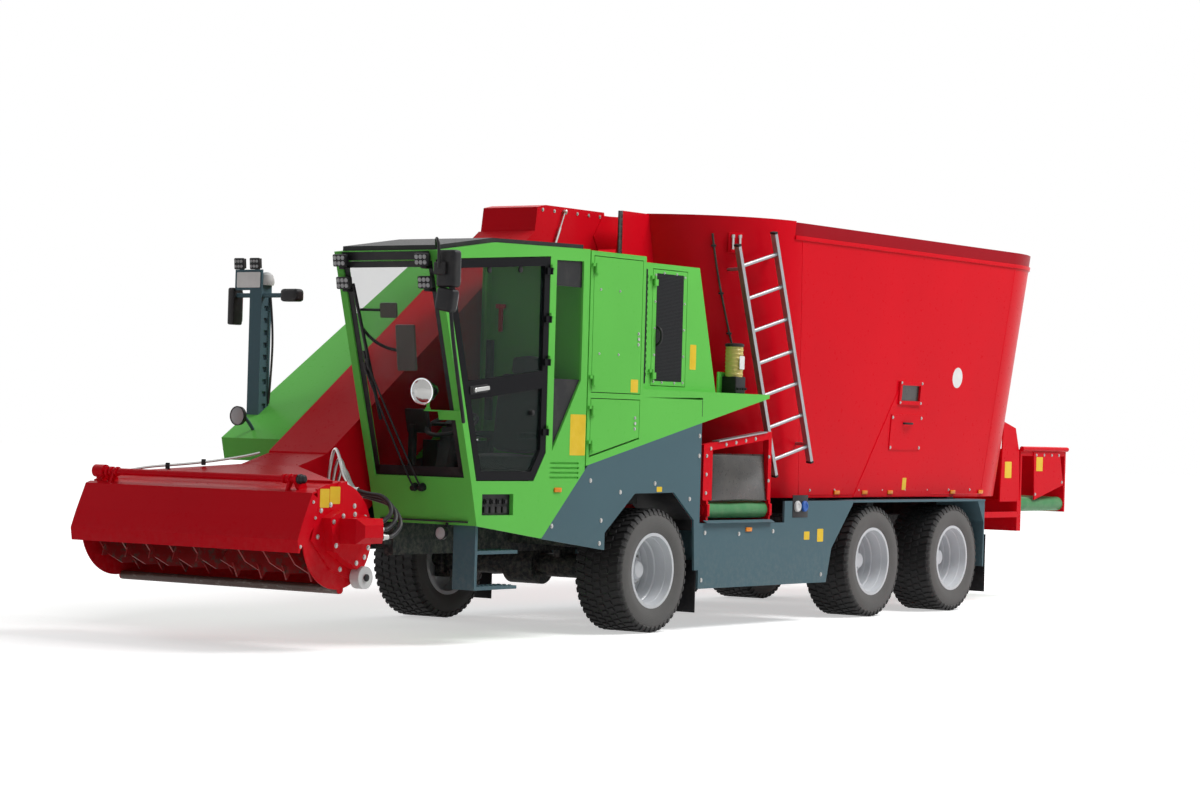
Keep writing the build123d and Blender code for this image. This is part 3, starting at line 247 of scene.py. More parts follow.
def tyre_rubber_painted_light(name):
    """Tyre rubber: sidewall painted lighter as painted light, tread and shoulder painted darker as painted
    shade, fine moulding marks.
    """
    made, tree, principled = shader(name)
    own = axes(tree, object_space(tree))
    flat = tree.nodes.new("ShaderNodeCombineXYZ")
    for axis in ("Y", "Z"):
        tree.links.new(own[axis], flat.inputs[axis])
    reach = length_of(tree, flat.outputs[0])
    outer = ramp(tree, reach, 0.435, 0.468)
    clouds = noise(tree, 9.0, 6.0, 0.7)
    # painted light and shade: the sidewall is painted lighter as if sunlit, the tread and shoulder darker as
    # painted shade
    wall = mix(tree, clouds, (0.075, 0.073, 0.072), (0.150, 0.146, 0.142))
    tread = mix(tree, clouds, (0.010, 0.010, 0.012), (0.036, 0.035, 0.034))
    tree.links.new(mix(tree, outer, wall, tread), principled.inputs["Base Color"])
    tree.links.new(ramp(tree, clouds, 0.3, 0.8, 0.55, 0.85), principled.inputs["Roughness"])
    principled.inputs["Specular IOR Level"].default_value = 0.25
    rings = compute(tree, "SINE", multiply(tree, reach, 520.0))
    bump(tree, principled, rings, 0.25, 0.001)
    return made


def woven(name, colour):
    """Close seat cloth: two crossing thread waves with a soft sheen."""
    made, tree, principled = shader(name)
    waves = []
    for direction in ("X", "Z"):
        wave = tree.nodes.new("ShaderNodeTexWave")
        wave.bands_direction = direction
        wave.inputs["Scale"].default_value = 110.0
        wave.inputs["Distortion"].default_value = 0.6
        tree.links.new(object_space(tree), wave.inputs["Vector"])
        waves.append(wave.outputs["Fac"])
    weave = multiply(tree, *waves)
    threads = mix(tree, weave, tinted(colour, 0.7), tinted(colour, 1.5))
    tree.links.new(threads, principled.inputs["Base Color"])
    principled.inputs["Roughness"].default_value = 0.85
    principled.inputs["Sheen Weight"].default_value = 0.3
    bump(tree, principled, weave, 0.3, 0.001)
    return made


def perforated(name, pitch=0.011):
    """Black sheet punched in close rows, each hole painted darker as painted shade behind the sheet, and
    dented.
    """
    made, tree, principled = shader(name)
    shaded_hole_cells = tree.nodes.new("ShaderNodeTexVoronoi")
    shaded_hole_cells.inputs["Scale"].default_value = 1 / pitch
    shaded_hole_cells.inputs["Randomness"].default_value = 0.0
    tree.links.new(object_space(tree), shaded_hole_cells.inputs["Vector"])
    # painted shade: the middle of each hole is painted near black
    rim = ramp(tree, shaded_hole_cells.outputs["Distance"], 0.30, 0.42)
    sheet = mix(tree, rim, (0.004, 0.004, 0.005), (0.022, 0.023, 0.025))
    tree.links.new(sheet, principled.inputs["Base Color"])
    tree.links.new(ramp(tree, rim, 0.0, 1.0, 0.9, 0.6), principled.inputs["Roughness"])
    principled.inputs["Specular IOR Level"].default_value = 0.1
    bump(tree, principled, rim, 0.4, 0.002)
    return made


def glass(name, colour, cover):
    """Tinted pane: a thin dark film that lets light and sight through, with faint smears in its gloss."""
    made, tree, principled = shader(name)
    principled.inputs["Base Color"].default_value = (*colour, 1)
    principled.inputs["Alpha"].default_value = cover
    principled.inputs["Specular IOR Level"].default_value = 0.3
    smears = noise(tree, 3.0, 6.0, 0.7, (1, 1, 0.4))
    tree.links.new(ramp(tree, smears, 0.4, 0.8, 0.02, 0.08), principled.inputs["Roughness"])
    return made


RED = (0.70, 0.004, 0.014)
GREEN = (0.150, 0.60, 0.100)
GREY = (0.085, 0.150, 0.178)
LOOKS = {
    "red_paint": paint("red_enamel", RED),
    # dark red: the enamel red darkened as painted shade
    "dark_red_paint": paint("shaded_red_enamel", (0.34, 0.004, 0.012), 0.35),
    "green_paint": paint("green_enamel", GREEN),
    "grey_paint": paint("grey_enamel", GREY, 0.42, 0.06),
    "frame_paint": paint("frame_enamel", (0.03, 0.034, 0.038), 0.45, 0.05, 0.45, 1.2),
    "worn_steel": metal("worn_steel", (0.46, 0.45, 0.43), 0.42),
    "drum_paint": worn_paint("worn_red", (0.34, 0.012, 0.014), (0.16, 0.11, 0.09), 0.55),
    "belt": moulded("belt_green", (0.06, 0.24, 0.09), 0.45, 90.0, 0.15, 0.15),
    "tinted_glass": glass("tinted_glass", (0.010, 0.030, 0.025), 0.30),
    "black_frame": paint("black_enamel", (0.010, 0.010, 0.012), 0.32, 0.05, 0.1),
    "seat_fabric": woven("seat_cloth", (0.035, 0.036, 0.04)),
    "black_plastic": moulded("grained_black", (0.013, 0.013, 0.015), 0.42),
    "engine_iron": worn_paint("engine_iron", (0.06, 0.06, 0.06), (0.2, 0.19, 0.18), 0.2),
    "ladder_aluminium": metal("mill_aluminium", (0.34, 0.345, 0.36), 0.42, (1, 1, 0.06)),
    "clear_plastic": moulded("amber_reservoir", (0.62, 0.50, 0.16), 0.22, 60.0, 0.05, 0.05),
    "white_plastic": moulded("worn_white", (0.66, 0.67, 0.67), 0.5, 120.0, 0.2, 0.35),
    "rod_chrome": metal("hard_chrome", (0.80, 0.81, 0.83), 0.10),
    "tyre": tyre_rubber_painted_light("tyre_rubber_painted_light"),
    "rim_silver": paint("silver_enamel", (0.60, 0.62, 0.65), 0.3, 0.3, 0.2, 0.9),
    "black_rubber": moulded("sheet_rubber", (0.020, 0.018, 0.016), 0.30, 40.0, 0.15, 0.08, 0.5),
}
ZINC = metal("zinc", (0.46, 0.46, 0.45), 0.36)
MIRROR_GLASS = metal("mirror_glass", (0.82, 0.84, 0.86), 0.03, None, 0.02)
YELLOW = moulded("yellow_film", (0.85, 0.55, 0.02), 0.35, 200.0, 0.03, 0.1)
AMBER = moulded("amber_reflector", (0.85, 0.25, 0.01), 0.2, 300.0, 0.25, 0.05)
RED_LENS = moulded("red_lens", (0.55, 0.008, 0.008), 0.18, 300.0, 0.25, 0.05)
WHITE_FILM = moulded("white_film", (0.80, 0.80, 0.79), 0.35, 200.0, 0.03, 0.08)
GRILLE_SHEET = perforated("grille_sheet_painted_shade")
BLUE_CAP = moulded("blue_cap", (0.03, 0.12, 0.45), 0.35, 200.0, 0.1, 0.1)
LINING = moulded("cab_lining", (0.030, 0.031, 0.033), 0.6, 260.0, 0.3, 0.05)
HOSE = moulded("hose_rubber", (0.03, 0.03, 0.032), 0.42, 150.0, 0.2, 0.2)
BRIGHT_LED = moulded("led_grid", (0.46, 0.47, 0.48), 0.18, 500.0, 0.1, 0.0)
MONITOR = moulded("monitor_case", (0.15, 0.13, 0.12), 0.35, 300.0, 0.1, 0.1)
WORN_BAR = worn_paint("worn_bar", (0.085, 0.045, 0.035), (0.22, 0.19, 0.17), 0.45)
LAMP_GLASS = metal("lamp_glass", (0.40, 0.40, 0.39), 0.10, None, 0.15)
CLEAR_SCREEN = glass("clear_screen", (0.012, 0.030, 0.026), 0.10)
# door pane: a denser dark film than the windscreen, partly the glass's tint and partly painted shade of the
# dark cab inside
SHADED_DOOR_PANE = glass("door_pane_painted_shade", (0.008, 0.022, 0.018), 0.30)
BLACK = LOOKS["black_plastic"]
RED_PAINT = LOOKS["red_paint"]
GREEN_PAINT = LOOKS["green_paint"]
GREY_PAINT = LOOKS["grey_paint"]

for entry in frame["record"]["subparts"]:
    body_mesh = nodes[entry["node"]].data
    body_mesh.materials.clear()
    body_mesh.materials.append(LOOKS[entry["material_slot"]])
for pane, look in (("cab_glass", CLEAR_SCREEN), ("cab_door_glass", SHADED_DOOR_PANE)):
    nodes[pane].data.materials[0] = look


# Mesh helpers

def new_object(name, data):
    """An object with this mesh, curve, camera or light, in the scene."""
    made = bpy.data.objects.new(name, data)
    bpy.context.scene.collection.objects.link(made)
    return made


def piece(name, mesh, look, body="root", smooth=30):
    """Turns a bmesh into an object that rides on a body."""
    data = bpy.data.meshes.new(name)
    bmesh.ops.recalc_face_normals(mesh, faces=mesh.faces)
    mesh.to_mesh(data)
    mesh.free()
    data.materials.append(look)
    data.shade_smooth()
    data.set_sharp_from_angle(angle=math.radians(smooth))
    made = new_object(name, data)
    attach(made, body)
    return made


def stand(spot, normal, up=UP):
    """A matrix that puts local Z along a normal and local Y as near as it goes to up."""
    z = normal.normalized()
    x = up.cross(z).normalized()
    y = z.cross(x)
    return Matrix.Translation(spot) @ Matrix((x, y, z)).transposed().to_4x4()


def left(x, station, z):
    """A matrix at a spot with local Z to the left and local Y up."""
    return stand(at(x, station, z), OUT_LEFT)


def add_box(mesh, matrix, size, bevel, segments=2):
    """A bevelled box centred on a matrix."""
    made = bmesh.ops.create_cube(mesh, size=1.0, matrix=matrix @ Matrix.Diagonal((*size, 1)))
    edges = {edge for vertex in made["verts"] for edge in vertex.link_edges}
    bmesh.ops.bevel(mesh, geom=list(edges), offset=bevel, segments=segments, affect="EDGES", profile=0.6)


def add_sheet(mesh, matrix, corners, thick=0.0012):
    """A thin sheet with the given outline, standing on the matrix's XY plane."""
    rings = []
    for z in (0, thick):
        rings.append([mesh.verts.new(matrix @ Vector((x, y, z))) for x, y in corners])
    mesh.faces.new(rings[1])
    mesh.faces.new(rings[0][::-1])
    for step in range(len(corners)):
        after = (step + 1) % len(corners)
        mesh.faces.new((rings[0][step], rings[0][after], rings[1][after], rings[1][step]))


def add_plate(mesh, matrix, width, height, thick=0.0012, corner=0.008):
    """A thin film with round corners lying on the matrix's XY plane."""
    corners = []
    for sx, sy, start in ((1, 1, 0), (-1, 1, 90), (-1, -1, 180), (1, -1, 270)):
        for step in range(4):
            turn = math.radians(start + 30 * step)
            corners.append((sx * (width / 2 - corner) + corner * math.cos(turn),
                            sy * (height / 2 - corner) + corner * math.sin(turn)))
    add_sheet(mesh, matrix, corners, thick)


def add_lathe(mesh, matrix, profile, segments=24):
    """Turns (radius, height) points round the matrix's Z axis; radius 0 closes an end."""
    rings = []
    for radius, z in profile:
        if radius == 0:
            rings.append([mesh.verts.new(matrix @ Vector((0, 0, z)))])
            continue
        ring = []
        for step in range(segments):
            turn = 2 * math.pi * step / segments
            spot = Vector((radius * math.cos(turn), radius * math.sin(turn), z))
            ring.append(mesh.verts.new(matrix @ spot))
        rings.append(ring)
    for low, high in zip(rings, rings[1:]):
        for step in range(segments):
            after = (step + 1) % segments
            corners = [low[step % len(low)], low[after % len(low)],
                       high[after % len(high)], high[step % len(high)]]
            mesh.faces.new(list(dict.fromkeys(corners)))


def add_bolt(mesh, matrix, radius=0.009, head=0.007):
    """A hexagon bolt head on a washer."""
    washer, rim, crown = radius * 0.25, radius * 1.5, head * 1.2
    add_lathe(mesh, matrix, [(0, 0), (rim, 0), (rim, washer), (radius, washer)], 14)
    add_lathe(mesh, matrix, [(radius, washer), (radius, head), (radius * 0.8, crown), (0, crown)], 6)


def bolts(name, places, body, normal=OUT_LEFT, radius=0.009):
    """A piece made of bolt heads on upright faces that look along the normal."""
    mesh = bmesh.new()
    for spot in places:
        add_bolt(mesh, stand(spot, normal), radius)
    return piece(name, mesh, ZINC, body)


def films(name, look, body, places, normal=OUT_LEFT, up=UP):
    """Blank stickers given as (spot, width, height)."""
    mesh = bmesh.new()
    for spot, width, height in places:
        add_plate(mesh, stand(spot, normal, up), width, height)
    return piece(name, mesh, look, body)


def tube(name, points, radius, look, body="root"):
    """A round bar, line or hose on a smooth curve through its control points, riding on a body."""
    curve = bpy.data.curves.new(name, "CURVE")
    curve.dimensions = "3D"
    curve.bevel_depth = radius
    curve.bevel_resolution = 4
    curve.use_fill_caps = True
    curve.resolution_u = 10
    spline = curve.splines.new("NURBS")
    spline.points.add(len(points) - 1)
    for point, place in zip(spline.points, points):
        point.co = (*place, 1)
    spline.order_u = 3
    spline.use_endpoint_u = True
    curve.materials.append(look)
    made = new_object(name, curve)
    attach(made, body)
    return made


def boxes(name, look, parts, body="root"):
    """One piece of bevelled boxes, each given as (matrix, size, bevel) or with the bevel's segments too."""
    mesh = bmesh.new()
    for part in parts:
        add_box(mesh, *part)
    return piece(name, mesh, look, body)


def turned(name, look, places, profile, segments, body="root"):
    """One piece with the same profile turned round each matrix."""
    mesh = bmesh.new()
    for matrix in places:
        add_lathe(mesh, matrix, profile, segments)
    return piece(name, mesh, look, body)


# Tyres: a turned carcass, five rows of tread blocks and a row of shoulder blocks on each side

TREAD_STEPS = 46
TREAD_DEPTH = 0.013
BEAD_RADIUS = 0.288
BEAD_HALF = 0.184
TREAD_ROWS = ((0.0, 0.052, 0.0, 0.62), (0.074, 0.058, 0.5, 0.60), (-0.074, 0.058, 0.5, 0.60),
              (0.156, 0.078, 0.0, 0.58), (-0.156, 0.078, 0.0, 0.58))


def tyre_mesh():
    """A tyre round the X axis with its middle at the origin."""
    mesh = bmesh.new()
    crown = TYRE_RADIUS - TREAD_DEPTH
    wall = []
    for step in range(11):
        share = step / 10
        rib = 0.004 if step in (3, 8) else 0
        radius = BEAD_RADIUS + (crown - 0.012 - BEAD_RADIUS) * share
        wall.append((radius + rib, BEAD_HALF + 0.039 * math.sin(math.pi * (0.08 + 0.80 * share)) ** 0.7))
    profile = [(radius, -half) for radius, half in wall]
    profile += [(crown, -0.188), (crown + 0.001, 0), (crown, 0.188)]
    profile += [(radius, half) for radius, half in wall[::-1]]
    profile += [(BEAD_RADIUS - 0.001, 0.0), (BEAD_RADIUS, -BEAD_HALF)]
    add_lathe(mesh, Matrix.Rotation(math.radians(90), 4, "Y"), profile, 96)
    spacing = 2 * math.pi * TYRE_RADIUS / TREAD_STEPS

    def block(step, spot, turn, size):
        around = Matrix.Rotation(2 * math.pi * step / TREAD_STEPS, 4, "X")
        add_box(mesh, around @ Matrix.Translation(spot) @ turn, size, 0.003, 1)

    for middle, width, phase, share in TREAD_ROWS:
        skew = Matrix.Rotation(math.radians(math.copysign(14, middle) if middle else 8), 4, "Z")
        for step in range(TREAD_STEPS):
            block(step + phase, (middle, 0, crown + TREAD_DEPTH / 2 - 0.0045), skew,
                  (width, spacing * share, TREAD_DEPTH + 0.003))
    for side in (1, -1):
        lean = Matrix.Rotation(math.radians(side * 62), 4, "Y")
        for step in range(TREAD_STEPS):
            block(step, (side * 0.204, 0, crown - 0.0145), lean, (0.052, spacing * 0.55, 0.016))
    return mesh


NUTS = 10
NUT_CIRCLE = 0.165
NUT = [(0.019, 0), (0.019, 0.004), (0.0155, 0.004), (0.0155, 0.02), (0.012, 0.026), (0, 0.027)]
HUB = [(0.102, -0.005), (0.102, 0.006), (0.074, 0.012), (0.070, 0.040), (0.060, 0.052), (0.02, 0.056),
       (0, 0.056)]
BARREL = [(0.2675, 0.150), (0.262, 0.146), (0.256, 0.10), (0.254, 0.06), (0.243, 0.052), (0.240, 0.0),
          (0.232, -0.012), (0.228, -0.05)]
tyre_shape = None
for axle, station in AXLES.items():
    for hand, side in HANDS.items():
        body = f"wheel_{axle}_{hand}"
        out = OUT_LEFT * side
        centre = at(side * WHEEL_X, station, TYRE_RADIUS)
        if tyre_shape is None:
            tyre = piece(f"tread_{axle}_{hand}", tyre_mesh(), LOOKS["tyre"], body, 35)
            tyre_shape = tyre.data
        else:
            tyre = new_object(f"tread_{axle}_{hand}", tyre_shape)
        tyre.matrix_world = Matrix.Translation(centre)
        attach(tyre, body)
        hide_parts(f"tyre_{axle}_{hand}")
        nuts = []
        for step in range(NUTS):
            turn = 2 * math.pi * step / NUTS
            reach = Vector((side * -0.052, NUT_CIRCLE * math.cos(turn), NUT_CIRCLE * math.sin(turn)))
            nuts.append(stand(centre + reach, out))
        turned(f"wheel_nuts_{axle}_{hand}", ZINC, nuts, NUT, 6, body)
        mesh = bmesh.new()
        add_lathe(mesh, stand(centre + out * 0.024, out), HUB, 40)
        add_lathe(mesh, stand(centre, out), BARREL, 72)
        piece(f"hub_cap_{axle}_{hand}", mesh, LOOKS["rim_silver"], body)

# Milling head: bolts, blank stickers, hoses with their pipes, the worn bar, caps and the cowl's bar

HEAD_END = 0.92
CASE_FACE = 1.0
COWL_FACE = 0.934
COWL_BAR = (-3.745, 1.192)
CASE_BOLTS = ((-3.655, 0.905), (-3.555, 0.945), (-3.43, 0.955), (-3.625, 0.74), (-3.40, 0.615),
              (-3.315, 0.655), (-3.275, 0.72))
END_PLATE_BOLTS = ((-3.70, 0.98), (-3.60, 1.02), (-3.34, 1.01), (-3.22, 0.93), (-3.21, 0.76),
                   (-3.30, 0.56), (-3.48, 0.57), (-3.73, 0.80))
bolts("case_bolts", on_face(CASE_FACE, CASE_BOLTS), "arm", radius=0.012)
bolts("end_plate_bolts", on_face(HEAD_END, END_PLATE_BOLTS), "arm", radius=0.012)
films("head_stickers", YELLOW, "arm", [(at(HEAD_END, -3.665, 1.065), 0.10, 0.13),
                                       (at(HEAD_END, -3.555, 1.085), 0.11, 0.12)])
HOSE_RADIUS = 0.016
HOSE_LENGTHS = (0.68, 0.73, 0.79)
PIPE_RADIUS = 0.012
FITTING = [(0.024, -0.004), (0.024, 0.022), (0.0195, 0.024), (0.0195, 0.06), (0.0165, 0.062)]
for count, length in enumerate(HOSE_LENGTHS):
    start = at(1.05 + 0.045 * count, -3.30, 0.90 - 0.05 * count)
    end = at(0.66, -3.06 + 0.045 * count, 1.115 - 0.02 * count)
    route = [start, start + Vector((0, 0.06, 0)), start + Vector((0, 0.12, 0)),
             at(1.07 + 0.03 * count, -3.09 + 0.02 * count, 0.97 - 0.04 * count),
             at(0.98, -3.075 + 0.04 * count, 1.08 - 0.03 * count),
             at(0.82, -3.07 + 0.045 * count, 1.09 - 0.02 * count), end + Vector((0.05, 0, -0.005)), end]
    hose = tube(f"drive_hose_{count + 1}", route, HOSE_RADIUS, HOSE, "arm")
    rise = 0.21 - 0.07 * count
    row = -2.90 + 0.05 * count
    pipe = [end + Vector((0.02, 0, 0)), end + Vector((-0.12, 0.06, 0.05))]
    pipe += path((0.42, row - 0.03, 1.17 + rise), (0.35, row, 1.20 + rise), (0.31, row, 1.12 + rise / 2),
                 (0.30, row, 1.10), (0.235, row, 1.09))
    tube(f"steel_pipe_{count + 1}", pipe, PIPE_RADIUS, ZINC, "arm")
    ends = [stand(start, -AHEAD), stand(end, OUT_LEFT), left(0.24, row, 1.09)]
    turned(f"hose_fittings_{count + 1}", ZINC, ends, FITTING, 16, "arm")
SLEEVE = [(0.0301, 0), (0.0318, 0.001), (0.0318, 2.069), (0.0301, 2.07), (0.0301, 0)]
turned("worn_bar", WORN_BAR, [left(-1.18, -3.445, 0.425)], SLEEVE, 28, "arm")
CAP = [(0.0, 0), (0.026, 0), (0.026, 0.008), (0.014, 0.014), (0, 0.014)]
caps = [left(1.0101, -3.30, 0.51), stand(at(-1.3001, -3.30, 0.51), -OUT_LEFT)]
turned("roller_caps", BLACK, caps, CAP, 18, "arm")
KNOB = [(0, 0), (0.034, 0.0), (0.036, 0.02), (0.03, 0.026), (0.03, 0.05), (0.018, 0.06), (0, 0.06)]
turned("bar_knob", BLACK, [left(0.75, *COWL_BAR)], KNOB, 20, "cowl")
COLLAR = [(0.0245, 0), (0.034, 0.002), (0.034, 0.02), (0.0245, 0.022)]
collars = [left(x, *COWL_BAR) for x in (-1.04, -0.985, 0.61, 0.66)]
turned("bar_collars", RED_PAINT, collars, COLLAR, 24, "cowl")
pipe = path((-1.10, -3.66, 1.165), (-0.98, -3.57, 1.222), (-0.62, -3.30, 1.262), (-0.33, -3.08, 1.325),
            (-0.29, -2.98, 1.352))
tube("head_pipe", pipe, 0.009, ZINC, "arm")
clamps = []
for share in (0.3, 0.62):
    spot = pipe[1].lerp(pipe[3], share) + Vector((0, 0, -0.012))
    clamps.append((Matrix.Translation(spot) @ Matrix.Rotation(0.63, 4, "Z"), (0.03, 0.045, 0.045), 0.005))
boxes("pipe_clamps", BLACK, clamps, "arm")
COWL_BOLTS = ((-3.80, 1.04), (-3.775, 0.93), (-3.925, 0.735))
bolts("cowl_bolts", on_face(COWL_FACE, COWL_BOLTS), "cowl", radius=0.008)

# Cab front: dark frame printed on the windscreen, wipers, lamps and mirrors

SCREEN_FOOT = (-2.427, 1.188)
SCREEN_HEAD = (-2.899, 2.829)
LEAN = (SCREEN_HEAD[0] - SCREEN_FOOT[0]) / (SCREEN_HEAD[1] - SCREEN_FOOT[1])
SCREEN_NORMAL = Vector((0, -1, LEAN)).normalized()
SCREEN_UP = Vector((0, LEAN, 1)).normalized()


def screen(x, z, off=0.0):
    """A point on the windscreen's outer plane, moved forward by off."""
    return at(x, SCREEN_FOOT[0] + LEAN * (z - SCREEN_FOOT[1]) - off, z)


def on_screen(x, z, off=0.0, up=SCREEN_UP):
    """A matrix on the windscreen, local Z out of it."""
    return stand(screen(x, z, off), SCREEN_NORMAL, up)


mesh = bmesh.new()
for x, z, width, height in ((0.772, 1.255, 0.82, 0.075), (0.772, 2.735, 0.82, 0.045),
                            (0.385, 1.99, 0.045, 1.55), (1.16, 1.99, 0.045, 1.55)):
    add_plate(mesh, on_screen(x, z, -0.0135), width, height, 0.001, 0.004)
add_plate(mesh, on_screen(0.772, 2.794), 0.80, 0.062, 0.002, 0.004)
piece("screen_frit", mesh, BLACK)
WIPER_FOOT = [(0.03, -0.004), (0.03, 0.025), (0.02, 0.05), (0, 0.052)]
for name, foot, joint, blade_low, blade_high in (
        ("wiper_outer", (0.80, 1.14), (0.475, 2.02), (0.50, 1.62), (0.435, 2.60)),
        ("wiper_inner", (0.73, 1.14), (0.445, 1.99), (0.46, 1.90), (0.44, 2.12))):
    half_way = ((foot[0] + joint[0]) / 2, (foot[1] + joint[1]) / 2)
    arm = [screen(*foot, 0.03), screen(*foot, 0.045), screen(*half_way, 0.045), screen(*joint, 0.03)]
    tube(name + "_arm", arm, 0.007, BLACK)
    low, high = screen(*blade_low, 0.006), screen(*blade_high, 0.006)
    along = (high - low).normalized()
    mesh = bmesh.new()
    add_box(mesh, stand((low + high) / 2, SCREEN_NORMAL, along), (0.018, (high - low).length, 0.022), 0.004)
    add_box(mesh, on_screen(*joint, 0.02, along), (0.026, 0.09, 0.022), 0.005)
    add_lathe(mesh, on_screen(*foot), WIPER_FOOT, 20)
    piece(name, mesh, BLACK)


LAMP_DEPTH = 0.06


def led_lamp(housing, lens, matrix, width, height):
    """A finned work lamp: housing behind, a grid of small lights in front, looking along local Z."""
    back = Matrix.Translation((0, 0, -LAMP_DEPTH * 0.22))
    add_box(housing, matrix @ back, (width, height, LAMP_DEPTH * 0.45), 0.01)
    for fin in range(6):
        spot = Matrix.Translation((width * (-0.4 + 0.16 * fin), 0, -LAMP_DEPTH * 0.62))
        add_box(housing, matrix @ spot, (width * 0.05, height * 0.86, LAMP_DEPTH * 0.5), 0.002, 1)
    light = [(width * 0.13, -0.002), (width * 0.13, 0.004), (width * 0.09, 0.001), (width * 0.04, 0.005),
             (0, 0.006)]
    for column in range(3):
        for row in range(2):
            spot = Matrix.Translation((width * (-0.3 + 0.3 * column), height * (-0.22 + 0.44 * row), 0.0))
            add_lathe(lens, matrix @ spot, light, 16)


mesh, lens = bmesh.new(), bmesh.new()
for x in (0.39, 1.14):
    for z in (2.60, 2.76):
        led_lamp(mesh, lens, stand(screen(x, z, 0.072), Vector((0, -1, -0.15))), 0.12, 0.09)
        add_box(mesh, Matrix.Translation(screen(x, z - 0.05, 0.02)), (0.05, 0.07, 0.02), 0.004)
for x in (-1.36, -1.20):
    led_lamp(mesh, lens, stand(at(x, -2.072, 2.805), Vector((0.1, -1, -0.1))), 0.09, 0.09)
    add_box(mesh, here(x, -2.03, 2.77), (0.03, 0.03, 0.03), 0.004)
lamps = piece("led_lamps", mesh, BLACK)
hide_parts("work_lamps")
piece("led_lenses", lens, BRIGHT_LED)

mesh, faces = bmesh.new(), bmesh.new()
for spot, size, tilt in ((at(1.375, -2.925, 2.695), (0.165, 0.265, 0.095), 0.0),
                         (at(1.368, -2.93, 2.475), (0.15, 0.165, 0.090), 0.16),
                         (at(-1.425, -2.025, 2.475), (0.06, 0.29, 0.12), 0.0),
                         (at(-0.84, -2.03, 2.56), (0.17, 0.10, 0.10), 0.0)):
    matrix = stand(spot, -AHEAD) @ Matrix.Rotation(tilt, 4, "Z")
    add_box(mesh, matrix, size, min(size) * 0.32, 4)
    front = matrix @ Matrix.Translation((0, 0, size[2] / 2))
    add_plate(faces, front, size[0] * 0.84, size[1] * 0.88, 0.002, 0.02)
add_box(mesh, here(1.345, -2.985, 2.695), (0.10, 0.035, 0.09), 0.012, 3)
add_box(mesh, here(1.25, -2.86, 2.72), (0.06, 0.05, 0.09), 0.008)
upper_arm = path((1.21, -2.86, 2.855), (1.25, -2.92, 2.90), (1.32, -3.0, 2.91), (1.345, -3.005, 2.86),
                 (1.345, -3.0, 2.70))
tube("mirror_arm_upper", upper_arm, 0.011, BLACK)
tube("mirror_arm_left", path((1.25, -2.87, 2.71), (1.29, -2.93, 2.71), (1.34, -2.985, 2.70)), 0.014, BLACK)
housings = piece("mirror_housings", mesh, BLACK, smooth=50)
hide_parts("mirrors")
piece("mirror_faces", faces, MIRROR_GLASS)

mesh, lens = bmesh.new(), bmesh.new()
for spot, radius in ((at(0.98, -2.43, 0.81), 0.05), (at(-1.02, -2.42, 1.62), 0.075)):
    bowl = [(0, -0.07), (radius * 0.5, -0.065), (radius * 0.95, -0.03), (radius, 0.0), (radius * 0.93, 0.006),
            (radius * 0.9, 0)]
    add_lathe(mesh, stand(spot, AHEAD), bowl, 32)
    add_lathe(lens, stand(spot, AHEAD), [(radius * 0.9, -0.001), (radius * 0.6, 0.006), (0, 0.01)], 32)
piece("round_lamps", mesh, BLACK)
piece("round_lenses", lens, BRIGHT_LED)
spot_lamp = [stand(screen(1.03, 1.83, 0.13), Vector((0.05, -1, -0.08)))]
BOWL = [(0, -0.13), (0.045, -0.128), (0.05, -0.10), (0.078, -0.06), (0.092, -0.01), (0.097, 0.0),
        (0.097, 0.014), (0.088, 0.016), (0.084, 0.004)]
turned("spot_lamp", LOOKS["rod_chrome"], spot_lamp, BOWL, 48)
turned("spot_lens", LAMP_GLASS, spot_lamp, [(0.0845, 0.004), (0.06, 0.012), (0.03, 0.016), (0, 0.017)], 48)
BRACKET_PIN = [(0.02, 0), (0.02, 0.02), (0.012, 0.03), (0.012, 0.06)]
mesh = bmesh.new()
add_box(mesh, on_screen(1.145, 1.665, 0.008), (0.20, 0.07, 0.012), 0.003)
add_box(mesh, Matrix.Translation(screen(1.055, 1.695, 0.075)), (0.06, 0.15, 0.01), 0.003)
add_lathe(mesh, Matrix.Translation(screen(1.04, 1.69, 0.12)), BRACKET_PIN, 16)
piece("spot_bracket", mesh, GREEN_PAINT)
tube("low_lamp_bracket", path((0.98, -2.39, 0.86), (0.98, -2.37, 0.84), (0.98, -2.35, 0.88)), 0.012, BLACK)
bracket = path((-1.02, -2.35, 1.62), (-1.02, -2.28, 1.58), (-1.02, -2.22, 1.50))
tube("hood_lamp_bracket", bracket, 0.014, GREY_PAINT)
tube("grab_rail", path((1.262, -2.56, 1.62), (1.30, -2.62, 1.66), (1.30, -2.76, 2.20), (1.30, -2.80, 2.46),
                       (1.262, -2.78, 2.52)), 0.014, BLACK)

# Cab inside: a padded seat in place of the plain solid, controls, two monitors, a hammer and the lining


def cushion(name, middle, size, lean=0.0, crown=0.02):
    """A crowned pad with pulled-in sides."""
    mesh = bmesh.new()
    bmesh.ops.create_cube(mesh, size=1.0)
    bmesh.ops.subdivide_edges(mesh, edges=mesh.edges, cuts=5, use_grid_fill=True)
    for vertex in mesh.verts:
        u, v, w = (2 * channel for channel in vertex.co)
        swell = (1 - u * u) * (1 - v * v)
        pinch = 1 - 0.05 * w * w * (1 - abs(u * v))
        height = w * (size[2] / 2 - crown) + math.copysign(crown, w) * swell * abs(w)
        vertex.co = (u * size[0] / 2 * pinch, v * size[1] / 2 * pinch, height)
    placed = Matrix.Translation(middle) @ Matrix.Rotation(lean, 4, "X")
    bmesh.ops.transform(mesh, matrix=placed, verts=mesh.verts)
    made = piece(name, mesh, LOOKS["seat_fabric"], smooth=70)
    rounder = made.modifiers.new("round", "SUBSURF")
    rounder.levels = rounder.render_levels = 2
    return made


